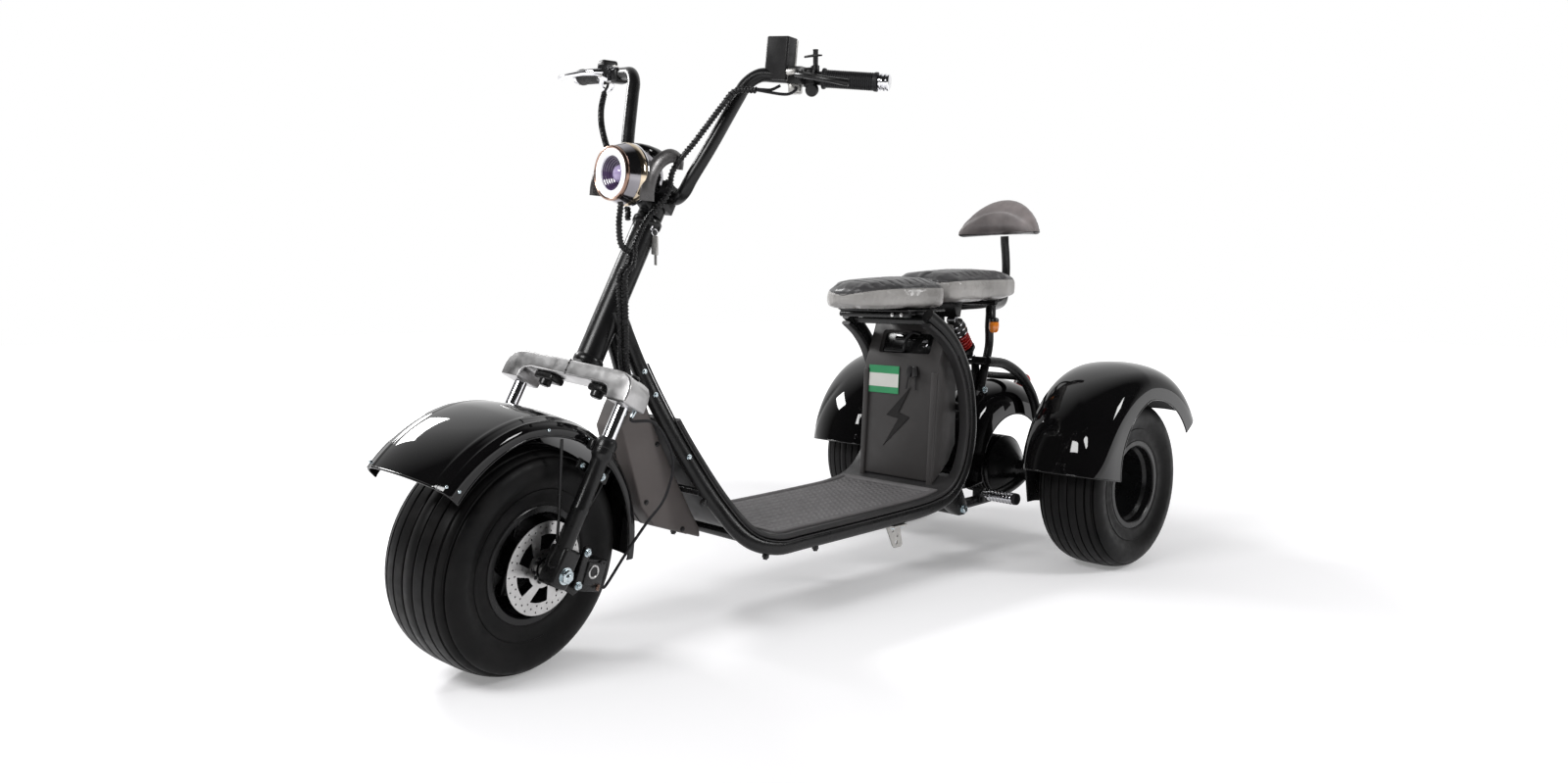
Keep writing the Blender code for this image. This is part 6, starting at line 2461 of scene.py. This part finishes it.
@dataclass(frozen=True)
class Pad:
    """A stuffed vinyl pad: a closed shell that is blown up as cloth, then sewn."""

    name: str
    body: Body
    node: str
    cap: float
    fill: float
    voxel: float = 0.005
    pressure: float = 4.0
    frames: int = 20

    def swell(self, shell: Solid) -> BMesh:
        """Remeshes a shell and lets cloth pressure round it.

        Args:
            shell: The closed start shape.

        Returns:
            The swollen mesh, subdivided once.
        """
        mesh = bpy.data.meshes.new(f"{self.name}_start")
        shell.bm.to_mesh(mesh)
        shell.bm.free()
        made = bpy.data.objects.new(f"{self.name}_start", mesh)
        bpy.context.scene.collection.objects.link(made)
        step = made.modifiers.new("even", "REMESH")
        step.mode = "VOXEL"
        step.voxel_size = self.voxel
        self.settle(made)
        self.blow(made)
        step = made.modifiers.new("fine", "SUBSURF")
        step.levels = step.render_levels = 1
        self.settle(made)
        found = bmesh.new()
        found.from_mesh(made.data)
        bpy.data.objects.remove(made)
        return found

    @staticmethod
    def settle(made: bpy.types.Object) -> None:
        """Writes the result of the object's modifiers into its mesh."""
        graph = bpy.context.evaluated_depsgraph_get()
        fresh = bpy.data.meshes.new_from_object(made.evaluated_get(graph))
        made.modifiers.clear()
        made.data = fresh

    def blow(self, made: bpy.types.Object) -> None:
        """Runs the cloth with pressure and holds each point within the cap."""
        start = [v.co.copy() for v in made.data.vertices]
        cloth = made.modifiers.new("cloth", "CLOTH")
        cloth.settings.use_pressure = True
        cloth.settings.uniform_pressure_force = self.pressure
        cloth.settings.effector_weights.gravity = 0.0
        scene = bpy.context.scene
        for k in range(1, self.frames + 1):
            scene.frame_set(k)
        self.settle(made)
        scene.frame_set(1)
        for vert, old in zip(made.data.vertices, start):
            moved = vert.co - old
            if moved.length > self.cap:
                vert.co = old + moved * (self.cap / moved.length)

    def finish(
        self, made: BMesh, finishes: Sequence[Finish], pick: Callable[[Vector], int]
    ) -> bpy.types.Object:
        """Turns the sewn mesh into a padded piece with one finish for each panel.

        Args:
            made: The mesh.
            finishes: The panels' finishes.
            pick: Gives a face's panel from its middle.

        Returns:
            The piece.
        """
        for face in made.faces:
            face.material_index = pick(face.calc_center_median())
        solid = Solid()
        solid.bm.free()
        solid.bm = made
        piece = solid.piece(self.name, self.body, finishes[0], [self.node], "vinyl", math.radians(60))
        for finish in finishes[1:]:
            piece.data.materials.append(finish.material())
        return piece


@dataclass(frozen=True)
class Seats:
    """Both seat pads and the backrest pad, with seams, channels, piping and tacks.

    Stations are (y, half width, bottom, top) from the rear axle. The shape is half of a section, in shares
    of the half width and of the height.
    """

    shape: tuple[Pair, ...] = (
        (0.0, 0.0), (0.92, 0.0), (0.985, 0.06), (1.0, 0.30), (1.0, 0.58), (0.955, 0.72), (0.62, 0.93),
        (0.0, 1.0)
    )
    front: tuple[tuple[float, float, float, float], ...] = (
        (-0.641, 0.036, 0.4760, 0.5100),
        (-0.634, 0.058, 0.4700, 0.5200),
        (-0.618, 0.080, 0.4690, 0.5270),
        (-0.590, 0.100, 0.4690, 0.5330),
        (-0.543, 0.122, 0.4690, 0.5380),
        (-0.470, 0.137, 0.4690, 0.5420),
        (-0.415, 0.139, 0.4690, 0.5430),
        (-0.396, 0.132, 0.4700, 0.5400),
        (-0.387, 0.115, 0.4740, 0.5310),
        (-0.383, 0.088, 0.4810, 0.5180),
    )
    rear: tuple[tuple[float, float, float, float], ...] = (
        (-0.343, 0.070, 0.4960, 0.5420),
        (-0.336, 0.097, 0.4870, 0.5520),
        (-0.312, 0.115, 0.4830, 0.5590),
        (-0.213, 0.125, 0.4850, 0.5650),
        (-0.103, 0.125, 0.4910, 0.5660),
        (-0.055, 0.116, 0.4960, 0.5610),
        (-0.037, 0.092, 0.5070, 0.5490),
    )
    seam_share: float = 0.66
    channel_pitch: float = 0.026
    channel_depth: float = 0.0030
    channel_width: float = 0.0034
    back_half: float = 0.134
    back_high: float = 0.106
    back_y: float = 0.049
    back_wrap: float = 0.036
    back_z: float = 0.6675

    def build(self) -> None:
        """Builds the three pads and the plates under the front one."""
        self.plates()
        self.seat(Pad("front_seat_pad", Body.SEAT, "front_seat", 0.0045, 0.75), self.front)
        self.seat(Pad("rear_seat_pad", Body.FRAME, "rear_seat", 0.0045, 0.75), self.rear)
        self.backrest()

    def plates(self) -> None:
        """The pan under the front seat and the bracket that it rests on, with its bolts."""
        z = STANCE.hinge.z - STANCE.rear_axle.z
        place = basis(STANCE.aft(0, 0, z + 0.0105), Vector((1, 0, 0)), Vector((0, 1, 0)))
        half = [
            (0.0, -0.598), (0.030, -0.598), (0.046, -0.575), (0.062, -0.535), (0.084, -0.470),
            (0.088, -0.400), (0.080, -0.388)
        ]
        pan = Solid().extrude([*half, *[(-x, y) for x, y in reversed(half[1:])]], 0.0036, place, 0.0010, 2)
        pan.piece("seat_pan_plate", Body.SEAT, SATIN_BLACK, ["seat_pan"], "satin_black")
        bracket = Solid().block((0.236, 0.148, 0.0060), shift(*STANCE.aft(0, -0.4520, z + 0.0072)), 0.0018, 2)
        bracket.block((0.200, 0.044, 0.0100), shift(*STANCE.aft(0, -0.4530, z + 0.0001)), 0.0030, 2)
        bracket.lathe(
            [(0.0003, -0.118), (0.0075, -0.118), (0.0075, 0.118), (0.0003, 0.118)],
            aim(STANCE.aft(0, -0.5200, z - 0.003), Vector((1, 0, 0))), 24
        )
        bracket.piece("seat_bracket_plate", Body.FRAME, SATIN_BLACK, ["seat_bracket"], "satin_black")
        bolts = Solid()
        for x in (0.068, 0.098):
            bolts.lathe(
                [(0.0003, 0), (0.0052, 0), (0.0052, 0.003), (0.0003, 0.0042)],
                aim(STANCE.aft(x, -0.5275, z - 0.003), Vector((0, -1, 0))), 20
            )
        bolts.piece("seat_bracket_bolts", Body.FRAME, STEEL)

    @staticmethod
    def level(stations: Sequence[tuple], y: float, column: int) -> float:
        """A station value at a distance behind the rear axle's plane.

        Args:
            stations: (y, half width, bottom, top) rows.
            y: Where along the pad.
            column: Which value of the row.

        Returns:
            The value between the nearest rows.
        """
        rows = list(zip(stations, stations[1:]))
        first, second = next((pair for pair in rows if pair[1][0] >= y), rows[-1])
        share = min(1.0, max(0.0, (y - first[0]) / (second[0] - first[0])))
        return first[column] + (second[column] - first[column]) * share

    def seam_height(self, stations: Sequence[tuple], y: float) -> float:
        """Height of the seam between the side band and the top."""
        bottom, top = self.level(stations, y, 2), self.level(stations, y, 3)
        return bottom + (top - bottom) * self.seam_share

    def seat(self, pad: Pad, stations: Sequence[tuple]) -> None:
        """One seat pad: shell, channels across its top, seam and tacks.

        Args:
            pad: How it is stuffed.
            stations: (y, half width, bottom, top) rows.
        """
        outline = [*self.shape, *[(-w, h) for w, h in reversed(self.shape[1:-1])]]
        rings = []
        for y, half, bottom, top in stations:
            rings.append([STANCE.aft(half * w, y, bottom + (top - bottom) * h) for w, h in outline])
        made = pad.swell(Solid().loft(rings))
        origin = STANCE.aft(0, 0, 0)
        first, last = stations[0][0], stations[-1][0]
        made.normal_update()
        moves = []
        for vert in made.verts:
            q = vert.co - origin
            over = q.z - self.seam_height(stations, q.y)
            if over < -0.004:
                moves.append(0.0)
                continue
            half = self.level(stations, q.y, 1)
            inside = min(1.0, max(0.0, (half - 0.016 - abs(q.x)) / 0.010))
            edge = min(1.0, max(0.0, (q.y - first - 0.030) / 0.012), max(0.0, (last - 0.022 - q.y) / 0.012))
            wave = abs(((q.y + 0.10 * abs(q.x)) / self.channel_pitch) % 1.0 - 0.5) * 2
            away = (1 - wave) * self.channel_pitch / 2
            channel = self.channel_depth * math.exp(-((away / self.channel_width) ** 2))
            rim = 0.0013 * math.exp(-(((over - 0.0025) / 0.0016) ** 2))
            moves.append(channel * inside * edge + rim)
        for vert, deep in zip(made.verts, moves):
            vert.co -= vert.normal * deep
        tree = BVHTree.FromBMesh(made)
        # The side band below the seam takes the vinyl with the painted sheen; the top keeps the plain black
        # vinyl.
        pad.finish(
            made, (VINYL_SIDE_PAINTED_SHEEN, VINYL_TOP),
            lambda at: int(at.z - origin.z > self.seam_height(stations, at.y - origin.y) + 0.0015)
        )
        self.piping(tree, pad, stations)
        self.tacks(tree, pad, stations)

    def piping(self, tree: BVHTree, pad: Pad, stations: Sequence[tuple]) -> None:
        """The welt that runs round the pad at its top seam."""
        first, last = stations[0][0] + 0.08, stations[-1][0] - 0.10
        points = []
        for k in range(180):
            heading = math.tau * k / 180
            share = 0.5 + 0.5 * math.sin(heading)
            y = first + (last - first) * share
            wall = stations[0][0] + (stations[-1][0] - stations[0][0]) * share
            aimed = STANCE.aft(0, y, self.seam_height(stations, wall) + 0.0005)
            out = Vector((math.cos(heading), math.sin(heading), 0))
            found = tree.ray_cast(aimed + out * 0.5, -out)[0]
            if found:
                points.append(found)
        points.append(points[0].copy())
        Solid().sweep(points, 0.0013, 8).piece(f"{pad.name}_welt", pad.body, VINYL_TOP)

    def tacks(self, tree: BVHTree, pad: Pad, stations: Sequence[tuple]) -> None:
        """Small bolts under the pad's edge."""
        studs = Solid()
        for y, x in ((stations[2][0] + 0.02, 0.050), (stations[-1][0] - 0.05, 0.085)):
            for side in (1, -1):
                below = STANCE.aft(side * x, y, 0.30)
                found = tree.ray_cast(below, Vector((0, 0, 1)))[0]
                if found:
                    place = aim(found + Vector((0, 0, 0.0005)), Vector((0, 0, -1)))
                    studs.lathe(
                        [(0.0003, 0), (0.0042, 0), (0.0042, 0.0018), (0.0026, 0.0032), (0.0003, 0.0036)],
                        place, 16
                    )
        studs.piece(f"{pad.name}_tacks", pad.body, BOLT_BLACK)

    def wrapped(self, x: float) -> float:
        """How far the backrest's middle line comes forward at a distance from its centre."""
        return self.back_wrap * (x / self.back_half) ** 2

    def backrest(self) -> None:
        """The half-dome pad with a smooth face, a creased back edge and piping below."""
        pad = Pad("backrest_cushion", Body.FRAME, "backrest_pad", 0.0050, 0.7)
        rings = []
        for k in range(15):
            x = -self.back_half + 2 * self.back_half * k / 14
            y = self.back_y - self.wrapped(x)
            dome = max(0.05, 1 - (x / 0.138) ** 2) ** 0.68
            high, deep = self.back_high * dome, 0.013 + 0.018 * dome
            ring = []
            for j in range(20):
                a = math.tau * j / 20
                lift = high / 2 + high / 2 * math.copysign(abs(math.sin(a)) ** 0.7, math.sin(a))
                ring.append(STANCE.aft(x, y + deep * math.cos(a), self.back_z + lift))
            rings.append(ring)
        made = pad.swell(Solid().loft(rings))
        origin = STANCE.aft(0, self.back_y, self.back_z)
        made.normal_update()
        moves = []
        for vert in made.verts:
            q = vert.co - origin
            q.y += self.wrapped(q.x)
            span = max(0.02, math.hypot(q.x, q.z * 1.30))
            seam = 0.0016 * math.exp(-(((q.y - 0.011) / 0.0018) ** 2))
            fold = 0.0010 * max(0.0, math.sin(34 * math.atan2(q.z, q.x) + 3 * math.sin(span * 60)))
            back = min(1.0, max(0.0, (q.y - 0.012) / 0.006))
            moves.append((seam + fold * back) * min(1.0, max(0.0, (q.z - 0.006) / 0.010)))
        for vert, deep in zip(made.verts, moves):
            vert.co -= vert.normal * deep
        tree = BVHTree.FromBMesh(made)

        def panel(at: Vector) -> int:
            """The back and underside panel, or the face."""
            q = at - origin
            return int(q.y + self.wrapped(q.x) > 0.0115 or q.z < 0.005)

        # The face takes the vinyl with the painted sheen; the back and underside keep the plain black vinyl.
        pad.finish(made, (BACKREST_FACE_PAINTED_SHEEN, VINYL_TOP), panel)
        points = []
        for k in range(120):
            heading = math.tau * k / 120
            out = Vector((math.cos(heading), math.sin(heading), 0))
            x = 0.105 * math.cos(heading)
            aimed = origin + Vector((x, -self.wrapped(x), 0.0065))
            found = tree.ray_cast(aimed + out * 0.5, -out)[0]
            if found:
                points.append(found)
        points.append(points[0].copy())
        Solid().sweep(points, 0.0016, 8).piece("backrest_welt", Body.FRAME, GLOSS_BLACK)


# Studio


@dataclass(frozen=True)
class Softbox:
    """One rectangular studio lamp."""

    name: str
    at: Triple
    target: Triple
    size: Pair
    power: float

    def build(self) -> None:
        """Hangs the lamp and points it at its target."""
        data = bpy.data.lights.new(f"lamp_{self.name}", "AREA")
        data.shape = "RECTANGLE"
        data.size, data.size_y = self.size
        data.energy = self.power
        lamp = bpy.data.objects.new(f"lamp_{self.name}", data)
        bpy.context.scene.collection.objects.link(lamp)
        lamp.location = self.at
        lamp.rotation_euler = (Vector(self.target) - Vector(self.at)).to_track_quat("-Z", "Y").to_euler()


@dataclass(frozen=True)
class Studio:
    """Floor, lamps, world and camera.

    The floor shines from glow_levels[0] near the object to glow_levels[1], between the two glow_radii.
    """

    eye: Triple = (1.83264, -1.79483, 0.74911)
    yaw: float = 46.4128
    pitch: float = 5.6963
    roll: float = -0.108
    lens: float = 24.40
    ambient: float = 0.42
    dark_room: float = 0.02
    floor_size: float = 14.0
    glow_levels: Pair = (0.22, 1.0)
    glow_radii: Pair = (1.4, 3.4)

    def build(self) -> None:
        """Sets the whole studio."""
        self.floor()
        self.world()
        self.lamps()
        self.camera()
        bpy.context.scene.view_settings.view_transform = "Standard"

    def floor(self) -> None:
        """A white floor that keeps the shadow and fades into the white background."""
        made = bmesh.new()
        bmesh.ops.create_grid(made, x_segments=1, y_segments=1, size=self.floor_size)
        mesh = bpy.data.meshes.new("studio_floor")
        made.to_mesh(mesh)
        made.free()
        floor = bpy.data.objects.new("studio_floor", mesh)
        bpy.context.scene.collection.objects.link(floor)
        material = bpy.data.materials.new("studio_floor")
        nodes = Nodes(material)
        tone = nodes.blend(nodes.noise(1.2, 2.0), (0.84, 0.835, 0.85), (0.87, 0.865, 0.88))
        nodes.feed(nodes.shader.inputs["Base Color"], tone)
        nodes.shader.inputs["Roughness"].default_value = 0.95
        nodes.shader.inputs["Specular IOR Level"].default_value = 0.1
        far = nodes.add("VectorMath", operation="LENGTH")
        nodes.feed(far.inputs[0], nodes.place)
        glow = nodes.span(far.outputs["Value"], *self.glow_levels, *self.glow_radii)
        rays = nodes.add("LightPath")
        seen = nodes.add("Math", operation="MAXIMUM")
        nodes.feed(seen.inputs[0], rays.outputs["Is Camera Ray"])
        nodes.feed(seen.inputs[1], rays.outputs["Is Glossy Ray"])
        shown = nodes.add("Math", operation="MULTIPLY")
        nodes.feed(shown.inputs[0], glow)
        nodes.feed(shown.inputs[1], seen.outputs[0])
        nodes.shader.inputs["Emission Color"].default_value = (1.0, 1.0, 1.0, 1.0)
        nodes.feed(nodes.shader.inputs["Emission Strength"], shown.outputs[0])
        mesh.materials.append(material)

    def world(self) -> None:
        """White behind the object, a dark room in front of it, and an even dim light from all round."""
        world = bpy.data.worlds.new("studio")
        bpy.context.scene.world = world
        world.use_nodes = True
        tree = world.node_tree
        rays = tree.nodes.new("ShaderNodeLightPath")
        look = tree.nodes.new("ShaderNodeTexCoord")
        behind = tree.nodes.new("ShaderNodeVectorMath")
        behind.operation = "DOT_PRODUCT"
        behind.inputs[1].default_value = (
            -math.sin(math.radians(self.yaw)), math.cos(math.radians(self.yaw)), 0.0
        )
        tree.links.new(look.outputs["Generated"], behind.inputs[0])
        backdrop = self.ramp(tree, behind.outputs["Value"], (0.05, 0.55), (self.dark_room, 1.0))
        seen = tree.nodes.new("ShaderNodeMath")
        seen.operation = "MAXIMUM"
        tree.links.new(rays.outputs["Is Camera Ray"], seen.inputs[0])
        tree.links.new(rays.outputs["Is Transmission Ray"], seen.inputs[1])
        glossy = self.choose(tree, rays.outputs["Is Glossy Ray"], self.ambient, backdrop)
        level = self.choose(tree, seen.outputs[0], glossy, 1.0)
        back = tree.nodes["Background"]
        tree.links.new(level, back.inputs["Strength"])
        back.inputs["Color"].default_value = (1.0, 1.0, 1.0, 1.0)

    @staticmethod
    def ramp(
        tree: bpy.types.NodeTree, value: bpy.types.NodeSocket, start: Pair, result: Pair
    ) -> bpy.types.NodeSocket:
        """Maps a value between two ends to another span."""
        node = tree.nodes.new("ShaderNodeMapRange")
        for name, number in zip(("From Min", "From Max", "To Min", "To Max"), (*start, *result)):
            node.inputs[name].default_value = number
        tree.links.new(value, node.inputs["Value"])
        return node.outputs["Result"]

    @staticmethod
    def choose(
        tree: bpy.types.NodeTree, when: bpy.types.NodeSocket, no: object, yes: object
    ) -> bpy.types.NodeSocket:
        """Takes one strength for a kind of ray and another for the rest."""
        node = tree.nodes.new("ShaderNodeMix")
        tree.links.new(when, node.inputs[0])
        for socket, value in ((node.inputs[2], no), (node.inputs[3], yes)):
            if isinstance(value, bpy.types.NodeSocket):
                tree.links.new(value, socket)
            else:
                socket.default_value = value
        return node.outputs[0]

    def lamps(self) -> None:
        """Softboxes whose edges show in the glossy black parts."""
        boxes = (
            Softbox("front", (0.3, -3.0, 2.5), (0.0, -0.2, 0.4), (1.15, 0.85), 64.0),
            Softbox("back", (-2.5, -0.9, 2.3), (0.0, -0.4, 0.4), (1.05, 0.50), 50.0),
            Softbox("right", (2.9, 1.5, 2.1), (0.2, 0.5, 0.4), (0.62, 1.0), 42.0),
        )
        for box in boxes:
            box.build()

    def camera(self) -> None:
        """The camera that was fitted to the photograph."""
        data = bpy.data.cameras.new("camera")
        data.sensor_width = 36.0
        data.lens = self.lens
        made = bpy.data.objects.new("camera", data)
        bpy.context.scene.collection.objects.link(made)
        made.location = self.eye
        made.rotation_euler = [math.radians(a) for a in (90 - self.pitch, self.roll, self.yaw)]
        bpy.context.scene.camera = made


NODE_FINISHES: dict[str, Finish] = {
    "tail_light": TAIL_RED,
    "headlight_lens": LAMP_WHITE,
    "headlight_housing": CHROME,
    "fork_crown": BRUSHED,
    "body_tray": TRAY_GREY,
    "battery_box": BATTERY_GREY,
    "cover_box": COVER_GREY,
    "floor_mat": MAT_RUBBER,
    "display": PLASTIC_BLACK,
    "front_axle": ZINC,
    "stand_bracket": STEEL,
    "front_seat": VINYL_SIDE_PAINTED_SHEEN,
    "rear_seat": VINYL_SIDE_PAINTED_SHEEN,
    "backrest_pad": VINYL_SIDE_PAINTED_SHEEN,
}


def finish_for(node: str) -> Finish:
    """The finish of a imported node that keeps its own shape.

    Args:
        node: The node's name.

    Returns:
        Its finish.
    """
    if node in NODE_FINISHES:
        return NODE_FINISHES[node]
    for part, finish in (
        ("mudguard", GLOSS_BLACK),
        ("shock", SHOCK_RED),
        ("stanchion", CHROME),
        ("grip", GRIP_RUBBER),
        ("bar_end", CHROME),
        ("footpeg", CHROME),
        ("indicator", AMBER),
    ):
        if part in node:
            return finish
    return SATIN_BLACK


def dress_frame() -> None:
    """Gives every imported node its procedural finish."""
    for name, node in frame["nodes"].items():
        node.data.materials.clear()
        node.data.materials.append(finish_for(name).material())


def main() -> None:
    """Builds the sub-assemblies in order."""
    dress_frame()
    Wheels().build()
    Fork().build()
    Lamp().build()
    Cockpit().build()
    Rails().build()
    CoverBox().build()
    Battery().build()
    RearEnd().build()
    Seats().build()
    Studio().build()


if __name__ == "__main__":
    main()
